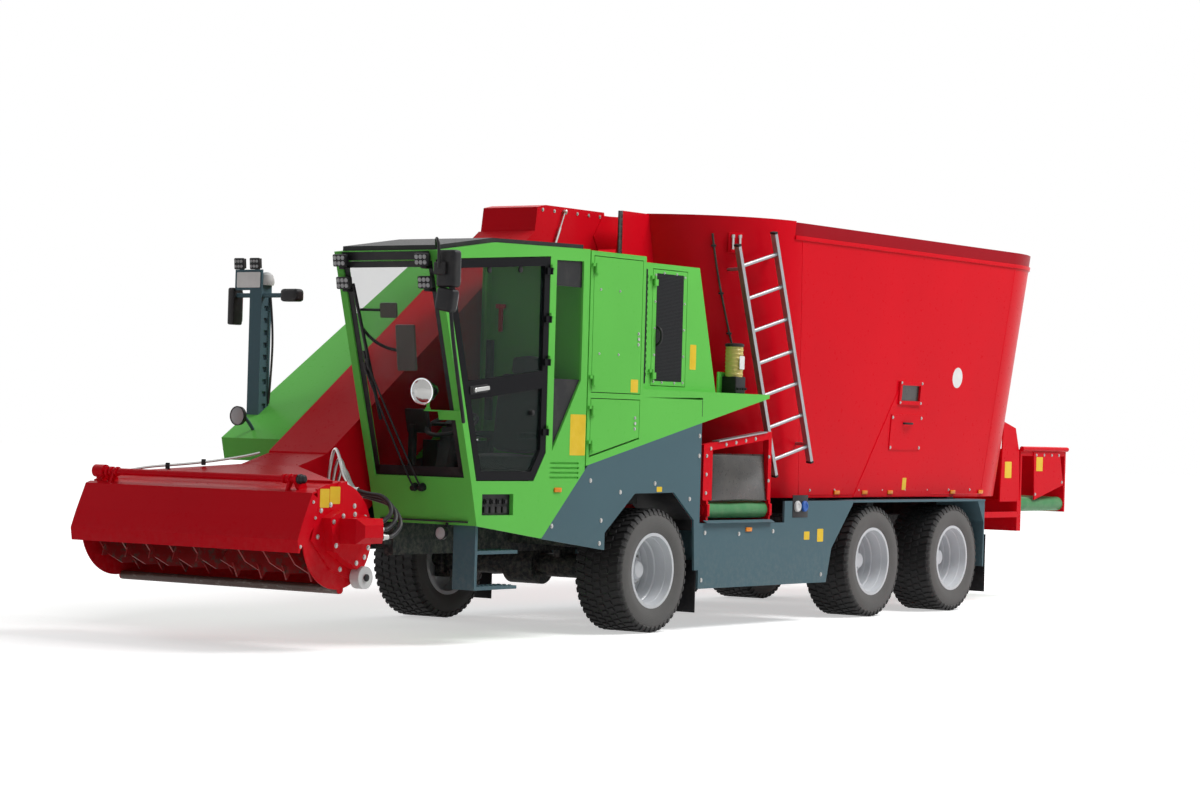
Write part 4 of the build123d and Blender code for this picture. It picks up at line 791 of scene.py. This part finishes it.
SEAT_LEAN = math.radians(-8)
seat = cushion("seat_pad", at(0.78, -1.45, 1.32), (0.46, 0.50, 0.15))
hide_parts("driver_seat")
cushion("seat_back", at(0.78, -1.185, 1.70), (0.44, 0.13, 0.62), SEAT_LEAN)
cushion("seat_head", at(0.78, -1.125, 2.06), (0.26, 0.09, 0.16), SEAT_LEAN)
LEVER = [(0.012, 0), (0.01, 0.12), (0.022, 0.13), (0.024, 0.165), (0.012, 0.18), (0, 0.181)]
mesh = bmesh.new()
add_box(mesh, here(0.78, -1.44, 1.09), (0.34, 0.38, 0.32), 0.02)
add_box(mesh, here(0.78, -1.44, 0.935), (0.42, 0.46, 0.025), 0.006)
for x in (0.53, 1.03):
    add_box(mesh, here(x, -1.40, 1.53), (0.06, 0.32, 0.05), 0.018, 3)
    add_box(mesh, here(x, -1.26, 1.45), (0.035, 0.06, 0.16), 0.01)
add_box(mesh, stand(at(0.50, -2.12, 1.62), Vector((0.25, 1, 0.2))), (0.26, 0.18, 0.035), 0.012)
add_box(mesh, here(0.47, -2.14, 1.32), (0.05, 0.05, 0.55), 0.01)
for x, station in ((0.45, -1.62), (0.50, -1.55)):
    add_lathe(mesh, here(x, station, 1.47), LEVER, 16)
add_box(mesh, here(0.385, -1.10, 1.95), (0.05, 0.05, 0.62), 0.01)
add_box(mesh, here(1.10, -2.16, 0.95), (0.16, 0.10, 0.12), 0.02, 3)
piece("cab_fittings", mesh, BLACK)
TO_DRIVER = Vector((0.25, -1, -0.2))
boxes("cab_monitors", MONITOR, [(stand(at(0.65, -2.47, 2.15), TO_DRIVER), (0.15, 0.34, 0.035), 0.012, 3),
                                (stand(at(0.54, -2.55, 2.42), TO_DRIVER), (0.13, 0.11, 0.04), 0.012, 3)])
stalk = path((0.362, -2.62, 2.28), (0.42, -2.60, 2.20), (0.55, -2.48, 2.12), (0.65, -2.45, 2.13))
tube("monitor_stalk", stalk, 0.012, BLACK)
stalk = path((0.362, -2.66, 2.42), (0.43, -2.62, 2.42), (0.54, -2.53, 2.42))
tube("monitor_stalk_upper", stalk, 0.010, BLACK)
boxes("escape_hammer", RED_PAINT, [(here(0.46, -1.075, 2.42), (0.035, 0.022, 0.19), 0.008, 3),
                                   (here(0.46, -1.078, 2.52), (0.085, 0.03, 0.035), 0.008, 3)])
boxes("cab_lining", LINING, [(here(0.772, -1.88, 2.852), (0.78, 1.56, 0.02), 0.006),
                             (here(0.772, -1.75, 0.895), (0.80, 1.25, 0.012), 0.004)])

# Cab side: door fittings and handle, black sheets on the quarter pane as painted shade, a black sheet at the
# back of the valve recess as painted shade, valves, stickers and markers

BAND_UP = Vector((0, -0.118, 1)).normalized()
PLUG = [(0.024, 0), (0.024, 0.008), (0.016, 0.012), (0, 0.012)]
LOCK = [(0.017, 0), (0.017, 0.022), (0.012, 0.026), (0, 0.026)]
mesh = bmesh.new()
add_box(mesh, stand(at(SIDE + 0.003, -2.37, 1.858), OUT_LEFT, BAND_UP), (0.21, 0.058, 0.010), 0.004, 3)
for station, z in ((-2.26, 2.728), (-1.88, 2.752)):
    add_lathe(mesh, left(SIDE - 0.018, station, z), PLUG, 24)
add_lathe(mesh, left(SIDE, -1.70, 1.70), [(0.02, -0.018), (0.02, 0.006), (0.012, 0.012), (0, 0.012)], 20)
piece("door_fittings", mesh, BLACK, "cab_door")
mesh = bmesh.new()
add_box(mesh, stand(at(SIDE + 0.026, -2.35, 1.862), OUT_LEFT, BAND_UP), (0.15, 0.030, 0.016), 0.007, 3)
add_lathe(mesh, left(SIDE + 0.008, -2.435, 1.85), LOCK, 20)
add_lathe(mesh, left(SIDE + 0.008, -2.285, 1.868), [(0.012, 0), (0.012, 0.012), (0, 0.012)], 16)
piece("door_handle", mesh, ZINC, "cab_door")
# painted shade: black sheets darken the quarter pane's lower corner and top band
mesh = bmesh.new()
for corners in ([(-1.437, 1.432), (-1.092, 1.963), (-1.437, 1.963)],
                [(-1.437, 2.66), (-1.092, 2.66), (-1.092, 2.857), (-1.437, 2.848)]):
    add_sheet(mesh, left(SIDE - 0.0168, 0, 0), corners)
piece("quarter_pane_painted_shade", mesh, BLACK)
# painted shade: a black sheet at the back of the valve recess
films("valve_recess_painted_shade", BLACK, "root", [(at(SIDE - 0.0348, -2.10, 1.0225), 0.376, 0.152)])
VALVE = [(0.022, 0), (0.022, 0.012), (0.016, 0.014), (0.016, 0.026), (0, 0.027)]
mesh = bmesh.new()
for column in range(4):
    station = -2.21 + 0.075 * column
    add_lathe(mesh, left(SIDE - 0.035, station, 1.045), VALVE, 18)
    add_box(mesh, left(SIDE - 0.027, station, 0.985), (0.05, 0.045, 0.016), 0.004)
piece("valve_row", mesh, BLACK)
films("side_stickers", YELLOW, "root", [
    (at(SIDE, -1.115, 1.545), 0.20, 0.31), (at(SIDE, 0.02, 1.132), 0.075, 0.04),
    (at(SIDE, 2.525, 0.735), 0.10, 0.11), (at(SIDE, 2.30, 0.735), 0.09, 0.07)])
films("upper_door_sticker", YELLOW, "upper_service_door", [(at(SIDE, -0.37, 1.935), 0.10, 0.10)])
films("grille_sticker", YELLOW, "root", [(at(HOUSE_FACE, 0.545, 2.19), 0.09, 0.20)])
boxes("side_markers", AMBER, [(left(SIDE + 0.004, *spot), (0.09, 0.035, 0.014), 0.005)
                              for spot in ((-1.36, 1.13), (1.36, 0.80))])

# Skirts and housing: bolts, latches, the grille's handle and its punched screens

SKIRT_BOLTS = ((-0.045, 1.178), (-0.524, 1.111), (0.459, 1.054), (0.585, 1.56), (0.585, 1.40), (-0.93, 1.20),
               (1.216, 0.765), (0.70, 0.78), (1.75, 0.78))
LEFT_ONLY_BOLTS = ((-0.775, 0.895), (-0.79, 0.72), (-1.42, 0.86), (0.66, 0.40), (2.55, 0.40))
bolts("skirt_bolts", on_face(SIDE, SKIRT_BOLTS + LEFT_ONLY_BOLTS), "root", radius=0.012)
bolts("skirt_bolts_right", on_face(-SIDE, SKIRT_BOLTS), "root", -OUT_LEFT, 0.012)
for body, (station, z) in (("upper_service_door", (-0.33, 2.30)), ("lower_service_door", (-0.35, 1.645))):
    mesh = bmesh.new()
    for dz in (0.042, -0.042):
        add_bolt(mesh, left(SIDE, station, z + dz), 0.009)
    add_lathe(mesh, left(SIDE, station, z), [(0.013, 0), (0.013, 0.006), (0.006, 0.007), (0, 0.004)], 18)
    piece(body + "_latch", mesh, ZINC, body)
frame_bolts = [(station, 1.98 + 0.21 * step) for station in (-0.02, 0.40) for step in range(5)]
frame_bolts += [(station, z) for station in (0.10, 0.28) for z in (1.975, 2.84)]
bolts("grille_bolts", on_face(HOUSE_FACE, frame_bolts), "grille_door", radius=0.007)
GRILLE_HANDLE = ((0.0, 2.27), (0.045, 2.28), (0.045, 2.40), (0.0, 2.41))
handle = [at(HOUSE_FACE + off, 0.015, z) for off, z in GRILLE_HANDLE]
tube("grille_handle", handle, 0.011, BLACK, "grille_door")
films("grille_screen", GRILLE_SHEET, "grille_door", [(at(HOUSE_FACE, 0.19, 2.41), 0.385, 0.85)])
films("narrow_screen", GRILLE_SHEET, "root", [(at(HOUSE_FACE, -0.165, 2.41), 0.06, 0.90)])
door_bolts = [(station, z) for station in (-0.86, -0.60) for z in (2.17, 2.66)]
bolts("upper_door_bolts", on_face(SIDE, door_bolts), "upper_service_door", radius=0.007)

# Front wheel wells: black liners over the wheels, clear of the steered tyres

WELL = ((-0.72, 0.68), (-0.72, 0.80), (-0.32, 1.10), (0.234, 1.106), (0.529, 0.885), (0.537, 0.80))
liners = []
for (start, low), (end, high) in zip(WELL, WELL[1:]):
    run = Vector((0, end - start, high - low))
    for side in (1, -1):
        middle = at(side * 0.985, (start + end) / 2, (low + high) / 2)
        liners.append((stand(middle, Vector((0, -run.z, run.y)), run), (0.47, run.length, 0.006), 0.002))
boxes("wheel_well_liners", BLACK, liners)

# Sill box: a black plate as painted shade in the coupling socket, coupling caps, the seam between the ledge's
# two panels and the sill's lip

# painted shade: the black plate stands for the deep socket's shade; the thin box is the seam between the
# ledge's panels
boxes("sill_socket_shade_and_seam", BLACK, [(left(SIDE, 2.18, 0.985), (0.25, 0.19, 0.006), 0.002),
                             (left(SIDE, 0.615, 1.79), (0.006, 0.15, 0.003), 0.001)])
boxes("sill_lip", GREY_PAINT, [(stand(at(SIDE + 0.012, 1.20, 0.868), Vector((0.5, 0, 1)), AHEAD),
                                (0.045, 1.04, 0.006), 0.002)])
COUPLING = [(0.046, 0), (0.046, 0.014), (0.040, 0.02), (0.026, 0.02), (0.022, 0.014), (0, 0.014)]
for name, station, look in (("blue_coupling", 2.24, BLUE_CAP),
                            ("grey_coupling", 2.125, LOOKS["white_plastic"])):
    turned(name, look, [left(SIDE + 0.003, station, 0.985)], COUPLING, 28)

# Tub: weld seams, blank stickers, markers, hatch fittings, ladder ends and the grease line

TUB_FLOOR_Z, TUB_TOP_Z = 1.050, 3.390
TUB_FLOOR_HALF, TUB_TOP_HALF = 1.080, 1.250
TUB_LEAN = (TUB_TOP_HALF - TUB_FLOOR_HALF) / (TUB_TOP_Z - TUB_FLOOR_Z)
FLANK_NORMAL = Vector((1, 0, -TUB_LEAN)).normalized()
FLANK_UP = Vector((TUB_LEAN, 0, 1)).normalized()
ACROSS = Vector((-1, 1, 1))


def flank(station, z, off=0.0):
    """A point on the tub's flat left flank."""
    return at(TUB_FLOOR_HALF + TUB_LEAN * (z - TUB_FLOOR_Z), station, z) + FLANK_NORMAL * off


def on_flank(station, z, off=0.0):
    """A matrix on the left flank, local Z outwards."""
    return stand(flank(station, z, off), FLANK_NORMAL, FLANK_UP)


def both_flanks(station, z, off=0.0):
    """A matrix on each flank of the tub, local Z outwards."""
    opposite = stand(flank(station, z, off) * ACROSS, FLANK_NORMAL * ACROSS, FLANK_UP * ACROSS)
    return on_flank(station, z, off), opposite


welds = []
for foot, head in ((2.42, 2.12), (5.77, 6.07)):
    for mirrored in (Vector((1, 1, 1)), ACROSS):
        low, high = flank(foot, 1.06) * mirrored, flank(head, 3.23) * mirrored
        seam = stand((low + high) / 2, FLANK_NORMAL * mirrored, (high - low).normalized())
        welds.append((seam, (0.010, (high - low).length, 0.004), 0.0018))
welds.append((on_flank(4.095, 1.075), (3.3, 0.012, 0.004), 0.0018))
boxes("tub_welds", RED_PAINT, welds)
films("tub_stickers", YELLOW, "root", [(flank(4.25, 1.17, 0.006), 0.07, 0.11)], FLANK_NORMAL, FLANK_UP)
turned("tub_disc", WHITE_FILM, [on_flank(5.10, 2.157)], [(0.095, 0), (0.095, 0.0012), (0, 0.0012)], 40)
markers = []
for station in (3.05, 3.54, 4.00, 5.19, 5.75):
    for place in both_flanks(station, 1.095, 0.010):
        markers.append((place, (0.09, 0.035, 0.012), 0.005))
boxes("tub_markers", AMBER, markers)
mesh = bmesh.new()
for stations, heights, off, radius in (((3.92, 4.45), (1.50, 1.77), 0.014, 0.010),
                                       ((4.02, 4.40), (1.905, 2.085), 0.02, 0.009)):
    for station in stations:
        for z in heights:
            add_bolt(mesh, on_flank(station, z, off), radius)
for step in range(8):
    for place in both_flanks(2.6 + 0.42 * step, 1.115):
        add_bolt(mesh, place, 0.008)
piece("tub_bolts", mesh, ZINC)
HATCH_HANDLE = ((4.12, 0.016), (4.12, 0.05), (4.26, 0.05), (4.26, 0.016))
tube("hatch_handle", [flank(station, 1.72, off) for station, off in HATCH_HANDLE], 0.009, BLACK)
LADDER_RUN = (at(1.2, 1.43, 3.2) - at(1.2, 2.11, 1.3)).normalized()
LADDER_ENDS = ((1.134, 1.255, 3.138), (1.266, 1.605, 3.262), (1.134, 1.935, 1.238),
               (1.266, 2.285, 1.362))
caps = []
for x, station, z in LADDER_ENDS:
    along = LADDER_RUN if z > 2 else -LADDER_RUN
    caps.append((stand(at(x, station, z), along, Vector((0.3, 1, 0))), (0.066, 0.034, 0.02), 0.006))
boxes("ladder_caps", BLACK, caps)


def tub_front(turn, z, off=0.0):
    """A point on the tub's round front end, turned in degrees from the left flank towards the front."""
    share = (z - TUB_FLOOR_Z) / (TUB_TOP_Z - TUB_FLOOR_Z)
    reach = TUB_FLOOR_HALF + (TUB_TOP_HALF - TUB_FLOOR_HALF) * share + off
    angle = math.radians(turn)
    return at(reach * math.cos(angle), 2.42 - 0.30 * share - reach * math.sin(angle), z)


def on_tub_front(turn, z, off):
    """A matrix on the tub's round front end, local Z outwards."""
    return stand(tub_front(turn, z, off), tub_front(turn, z, 1.0) - tub_front(turn, z))


line = [tub_front(45, 3.24, 0.012), tub_front(44.5, 3.10, 0.014), tub_front(43, 2.85, 0.014),
        tub_front(40, 2.50, 0.016), tub_front(37, 2.22, 0.02)]
line += path((1.02, 1.47, 2.06), (1.10, 1.36, 1.99), (1.10, 1.33, 1.98))
wire = tube("tub_line", line, 0.009, HOSE)
boxes("line_clips", BLACK, [(on_tub_front(turn, z, 0.012), (0.04, 0.02, 0.03), 0.006)
                            for turn, z in ((44.7, 3.14), (42.2, 2.75), (39.2, 2.42))])
boxes("front_bracket", RED_PAINT, [(on_tub_front(36, 3.17, 0.01), (0.13, 0.17, 0.02), 0.006),
                                   (on_tub_front(36, 3.10, 0.03), (0.11, 0.03, 0.04), 0.006)])
NIPPLE = [(0.011, 0), (0.011, 0.10), (0.016, 0.10), (0.016, 0.125), (0.008, 0.13), (0, 0.13)]
nipples = [Matrix.Translation(tub_front(turn, 3.11, 0.036)) for turn in (34.6, 37.4)]
turned("front_fittings", ZINC, nipples, NIPPLE, 12)

# Grease pump in place of the plain one: base, ribbed amber reservoir, cap, outlets, plate and label

PUMP = (1.13, 1.255)
RESERVOIR_RADIUS = 0.072
RIB_RADIUS = 0.0755
LID = [(0.074, 0), (0.079, 0.004), (0.079, 0.022), (0.06, 0.03), (0, 0.03)]
OUTLET = [(0.011, 0), (0.011, 0.018), (0.006, 0.02), (0, 0.03)]
mesh = bmesh.new()
add_box(mesh, here(*PUMP, 1.985), (0.14, 0.15, 0.14), 0.012, 3)
add_lathe(mesh, here(*PUMP, 2.30), LID, 32)
for count in range(4):
    add_lathe(mesh, left(1.20, 1.20 + 0.037 * count, 1.955), OUTLET, 8)
pump = piece("pump_base", mesh, BLACK)
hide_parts("grease_pump")
ribs = [(0, 0.0), (RESERVOIR_RADIUS, 0.0)]
for step in range(7):
    base = 0.012 + 0.033 * step
    ribs += [(RESERVOIR_RADIUS, base), (RIB_RADIUS, base + 0.005), (RIB_RADIUS, base + 0.013),
             (RESERVOIR_RADIUS, base + 0.018)]
ribs += [(RESERVOIR_RADIUS, 0.25), (0, 0.25)]
turned("pump_reservoir", LOOKS["clear_plastic"], [here(*PUMP, 2.052)], ribs, 36)
boxes("pump_plate", GREEN_PAINT, [(here(1.055, 1.30, 1.99), (0.012, 0.36, 0.20), 0.004)])
films("pump_label", WHITE_FILM, "root", [(at(1.2065, 1.255, 2.17), 0.075, 0.11)])

# Discharge: a rubber curtain that bulges over the belt, in place of the plain one

CURTAIN_WIDE, CURTAIN_TALL = 0.86, 0.39
CURTAIN_ROWS, CURTAIN_COLUMNS = 18, 24
mesh = bmesh.new()
rows = []
for step in range(CURTAIN_ROWS + 1):
    share = step / CURTAIN_ROWS
    droop = math.sin(math.pi * min(1.0, 0.15 + 0.85 * share))
    row = []
    for across in range(CURTAIN_COLUMNS + 1):
        along = across / CURTAIN_COLUMNS
        swell = math.sin(math.pi * along) ** 0.6
        bulge = 0.060 * swell * droop + 0.004 * math.sin(9 * along + 5 * share)
        spot = at(1.158 + 0.035 * share + bulge, 0.85 + CURTAIN_WIDE * along, 1.42 - CURTAIN_TALL * share)
        row.append(mesh.verts.new(spot))
    rows.append(row)
for upper, lower in zip(rows, rows[1:]):
    for across in range(CURTAIN_COLUMNS):
        mesh.faces.new((upper[across], upper[across + 1], lower[across + 1], lower[across]))
curtain = piece("bulged_curtain", mesh, LOOKS["black_rubber"], smooth=60)
thick = curtain.modifiers.new("thick", "SOLIDIFY")
thick.thickness = 0.006
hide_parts("discharge_curtain")

# Discharge: bolts on the red frame, steel strip over the curtain, roller bearings; rear stickers and bolts

DISCHARGE_FACE = 1.205
FRAME_BOLTS = ((0.76, 1.40), (0.76, 1.25), (0.76, 1.10), (0.82, 1.46), (1.05, 1.495), (1.20, 1.512),
               (1.35, 1.53), (1.50, 1.547), (1.72, 1.20), (1.72, 1.40))
bolts("discharge_bolts", on_face(DISCHARGE_FACE, FRAME_BOLTS), "root", radius=0.010)
SLOPE = (1.610 - 1.490) / (1.76 - 0.715)
strip = stand(at(1.18, 1.30, 1.562), Vector((0, -SLOPE, 1)), Vector((0, 1, SLOPE)))
boxes("curtain_strip", LOOKS["ladder_aluminium"], [(strip, (0.075, 0.75, 0.012), 0.004)])
BEARING = [(0.055, 0.0), (0.055, 0.03), (0.03, 0.036), (0, 0.036)]
mesh = bmesh.new()
for station, way in ((0.785, AHEAD), (1.745, -AHEAD)):
    add_lathe(mesh, stand(at(1.13, station, 0.96), way), BEARING, 24)
    add_box(mesh, here(1.17, station, 0.96), (0.10, 0.04, 0.10), 0.008)
piece("roller_bearings", mesh, RED_PAINT)
REAR_SIDE = 0.91
REAR_BOLTS = ((7.28, 1.45), (7.45, 1.45), (7.62, 1.45), (7.78, 1.45), (7.27, 1.06), (7.86, 1.18))
films("rear_stickers", YELLOW, "root", [
    (at(0.895, 6.70, 1.30), 0.14, 0.16), (at(REAR_SIDE, 7.35, 1.36), 0.14, 0.14)])
bolts("rear_bolts", on_face(REAR_SIDE, REAR_BOLTS), "root", radius=0.010)

# Rear end: tail lamps and a blank plate; right hood: screen, seams, bolts, a latch and a handle

REAR_FACE = 7.96
TAIL_Z = 1.29
LENS = [(0.046, 0.0), (0.046, 0.006), (0.034, 0.012), (0.018, 0.0125), (0.0, 0.0145)]
tail_boxes = [(here(side * 0.73, REAR_FACE + 0.014, TAIL_Z), (0.25, 0.028, 0.12), 0.008, 3)
              for side in (1, -1)]
tail_boxes.append((here(0, REAR_FACE + 0.003, 1.28), (0.36, 0.006, 0.20), 0.003))
boxes("tail_lamp_bodies", BLACK, tail_boxes)
for name, x, look in (("tail_lenses_red", 0.79, RED_LENS), ("tail_lenses_amber", 0.67, AMBER)):
    turned(name, look, [stand(at(side * x, REAR_FACE + 0.027, TAIL_Z), -AHEAD) for side in (1, -1)], LENS, 28)
films("rear_plate", WHITE_FILM, "root", [(at(0, REAR_FACE + 0.006, 1.28), 0.34, 0.18)], -AHEAD)
rear_edge = [at(x, REAR_FACE, z) for x in (-0.82, -0.41, 0.41, 0.82) for z in (1.03, 1.45)]
bolts("rear_face_bolts", rear_edge, "root", -AHEAD, 0.010)
hood_edge = [(-2.20 + 0.42 * step, 1.49 + 0.272 * step) for step in range(6)]
hood_edge += [(0.05 + 0.24 * step, 2.85) for step in range(3)]
bolts("hood_bolts", on_face(-SIDE, hood_edge), "root", -OUT_LEFT, 0.010)
films("hood_screen", GRILLE_SHEET, "root", [(at(-SIDE, 0.10, 2.35), 0.62, 0.62)], -OUT_LEFT)
HOOD_SEAMS = ((-0.30, 2.13, 0.006, 1.05), (0.10, 1.90, 0.80, 0.006), (-1.05, 1.62, 0.006, 0.62))
boxes("hood_seams", BLACK, [(stand(at(-SIDE, station, z), -OUT_LEFT), (wide, tall, 0.003), 0.001)
                            for station, z, wide, tall in HOOD_SEAMS])
LATCH = [(0.022, 0), (0.022, 0.006), (0.010, 0.008), (0.008, 0.018), (0, 0.018)]
mesh = bmesh.new()
for station in (-0.23, 0.43):
    for z in (2.05, 2.62):
        add_bolt(mesh, stand(at(-SIDE, station, z), -OUT_LEFT), 0.008)
add_lathe(mesh, stand(at(-SIDE, -0.66, 1.75), -OUT_LEFT), LATCH, 20)
piece("hood_fasteners", mesh, ZINC)
tube("hood_handle", path((-SIDE, -0.78, 1.90), (-SIDE - 0.035, -0.78, 1.905), (-SIDE - 0.035, -0.60, 1.905),
                         (-SIDE, -0.60, 1.90)), 0.010, BLACK)

# Mirror post: blank plate, dome and cable; steps with grip rings; flaps behind the front and rear wheels

films("post_plate", WHITE_FILM, "root", [(at(-1.26, -2.0625, 2.68), 0.24, 0.12)], AHEAD)
DOME = [(0, 0), (0.055, 0), (0.06, 0.02), (0.06, 0.045), (0.048, 0.08), (0.025, 0.1), (0, 0.104)]
turned("post_dome", LOOKS["white_plastic"], [here(-1.14, -1.985, 2.64)], DOME, 32)
cable = path((-1.12, -1.96, 2.56), (-1.09, -1.95, 2.3), (-1.10, -1.95, 1.95), (-1.12, -1.95, 1.72))
tube("post_cable", cable, 0.009, HOSE)
GRIP = [(0.014, 0), (0.014, 0.005), (0.009, 0.005), (0.009, 0.0)]
turned("step_grips", GREY_PAINT, [here(x, -2.24 + 0.055 * count, z - 0.002) for z in (0.427, 0.687)
                                  for count in range(9) for x in (1.05, 1.10, 1.15)], GRIP, 12)
boxes("mud_flaps", BLACK, [(here(side * 1.02, station, z), (0.42, 0.010, tall), 0.003) for side in (1, -1)
                           for station, z, tall in ((0.60, 0.35, 0.42), (5.61, 0.43, 0.54))])

# Top of the arm and chute: bolts along the hood, a gas strut, the outlet's lip and the chute's rubber strips

ARM_LEFT, ARM_RIGHT = 0.24, -0.30
hood_row = [(-0.26 + 0.16 * step, 3.335) for step in range(6)]
hood_row += [(-0.30 + 0.16 * step, 3.06) for step in range(4)]
bolts("arm_hood_bolts", on_face(ARM_LEFT, hood_row), "arm", radius=0.010)
STRUT = [(0, 0), (0.011, 0), (0.011, 0.18), (0.006, 0.185), (0.006, 0.33), (0, 0.33)]
STRUT_EYE = [(0.014, 0), (0.014, 0.036), (0.008, 0.04), (0, 0.04)]
low, high = at(0.262, -0.12, 3.04), at(0.262, 0.02, 3.34)
mesh = bmesh.new()
add_lathe(mesh, stand(low, (high - low).normalized(), OUT_LEFT), STRUT, 16)
for end in (low, high):
    add_lathe(mesh, stand(end - OUT_LEFT * 0.022, OUT_LEFT), STRUT_EYE, 14)
piece("hood_strut", mesh, ZINC, "arm")
LIP = [(0.45, 3.17), (0.575, 3.345), (0.80, 3.352), (0.84, 3.13), (0.79, 3.085), (0.52, 3.065)]
LIP_PLATE = 0.006
mesh = bmesh.new()
for x in (ARM_LEFT + 0.0005, ARM_RIGHT - 0.0005 - LIP_PLATE):
    add_sheet(mesh, left(x, 0, 0), LIP, LIP_PLATE)
add_box(mesh, here((ARM_LEFT + ARM_RIGHT) / 2, 0.695, 3.346), (0.541, 0.20, LIP_PLATE), 0.002)
piece("outlet_lip", mesh, RED_PAINT, "arm")
boxes("chute_strip", LOOKS["black_rubber"], [(here(x, 0.525, 2.99 + 0.06 * step), (0.016, 0.05, 0.062), 0.004)
                                             for x in (0.456, -0.556) for step in range(7)])

# Camera at the photograph's place

YAW, PITCH, ROLL = 0.6075, 0.0091, 0.0274
CAMERA_PLACE = (14.1895, -21.4509, 1.6096)
forward = Vector((-math.sin(YAW) * math.cos(PITCH), math.cos(YAW) * math.cos(PITCH), math.sin(PITCH)))
level = Vector((math.cos(YAW), math.sin(YAW), 0))
rise = level.cross(forward)
right = level * math.cos(ROLL) + rise * math.sin(ROLL)
above = rise * math.cos(ROLL) - level * math.sin(ROLL)
facing = Matrix((right, above, -forward)).transposed().to_4x4()
camera = new_object("camera", bpy.data.cameras.new("camera"))
camera.matrix_world = Matrix.Translation(CAMERA_PLACE) @ facing
camera.data.sensor_width = 36
camera.data.lens = 89.06
camera.data.clip_end = 300
bpy.context.scene.camera = camera

# Pale floor, white surroundings and soft studio light


def seen_directly(tree):
    """1 where the camera, a mirror image or a view through glass meets the surface, otherwise 0."""
    rays = tree.nodes.new("ShaderNodeLightPath")
    seen = rays.outputs["Is Camera Ray"]
    for other in ("Is Glossy Ray", "Is Transmission Ray"):
        seen = compute(tree, "MAXIMUM", seen, rays.outputs[other])
    return seen


floor_mesh = bmesh.new()
bmesh.ops.create_circle(floor_mesh, cap_ends=True, radius=120, segments=96)
floor_look, tree, principled = shader("pale_floor")
principled.inputs["Roughness"].default_value = 0.9
principled.inputs["Specular IOR Level"].default_value = 0.0
principled.inputs["Emission Color"].default_value = (1, 1, 1, 1)
pale = mix(tree, noise(tree, 0.6), (0.80, 0.80, 0.80), (0.82, 0.82, 0.82))
tree.links.new(pale, principled.inputs["Base Color"])
whiten = ramp(tree, length_of(tree, object_space(tree)), 5.0, 18.0, 0.50, 1.0)
tree.links.new(multiply(tree, seen_directly(tree), whiten), principled.inputs["Emission Strength"])
floor_data = bpy.data.meshes.new("floor")
floor_mesh.to_mesh(floor_data)
floor_mesh.free()
floor_data.materials.append(floor_look)
floor = new_object("floor", floor_data)
floor.location.z = -0.001

world = bpy.data.worlds.new("studio")
bpy.context.scene.world = world
world.use_nodes = True
tree = world.node_tree
background = tree.nodes["Background"]
background.inputs["Color"].default_value = (1, 1, 1, 1)
tree.links.new(ramp(tree, seen_directly(tree), 0, 1, 0.21, 1.0), background.inputs["Strength"])

LIT_SPOT = Vector((0, -0.5, 1.4))
for name, place, size, power in (("key", (9.8, 4.7, 15.6), 8, 2800), ("right_fill", (-13, -5, 8), 9, 420),
                                 ("rear", (-4, 15, 9), 8, 420), ("front_fill", (6, -17, 8), 9, 80)):
    lamp = new_object(name, bpy.data.lights.new(name, "AREA"))
    lamp.data.size = size
    lamp.data.energy = power
    lamp.location = place
    lamp.rotation_euler = (LIT_SPOT - lamp.location).to_track_quat("-Z", "Y").to_euler()

bpy.context.scene.view_settings.view_transform = "Standard"
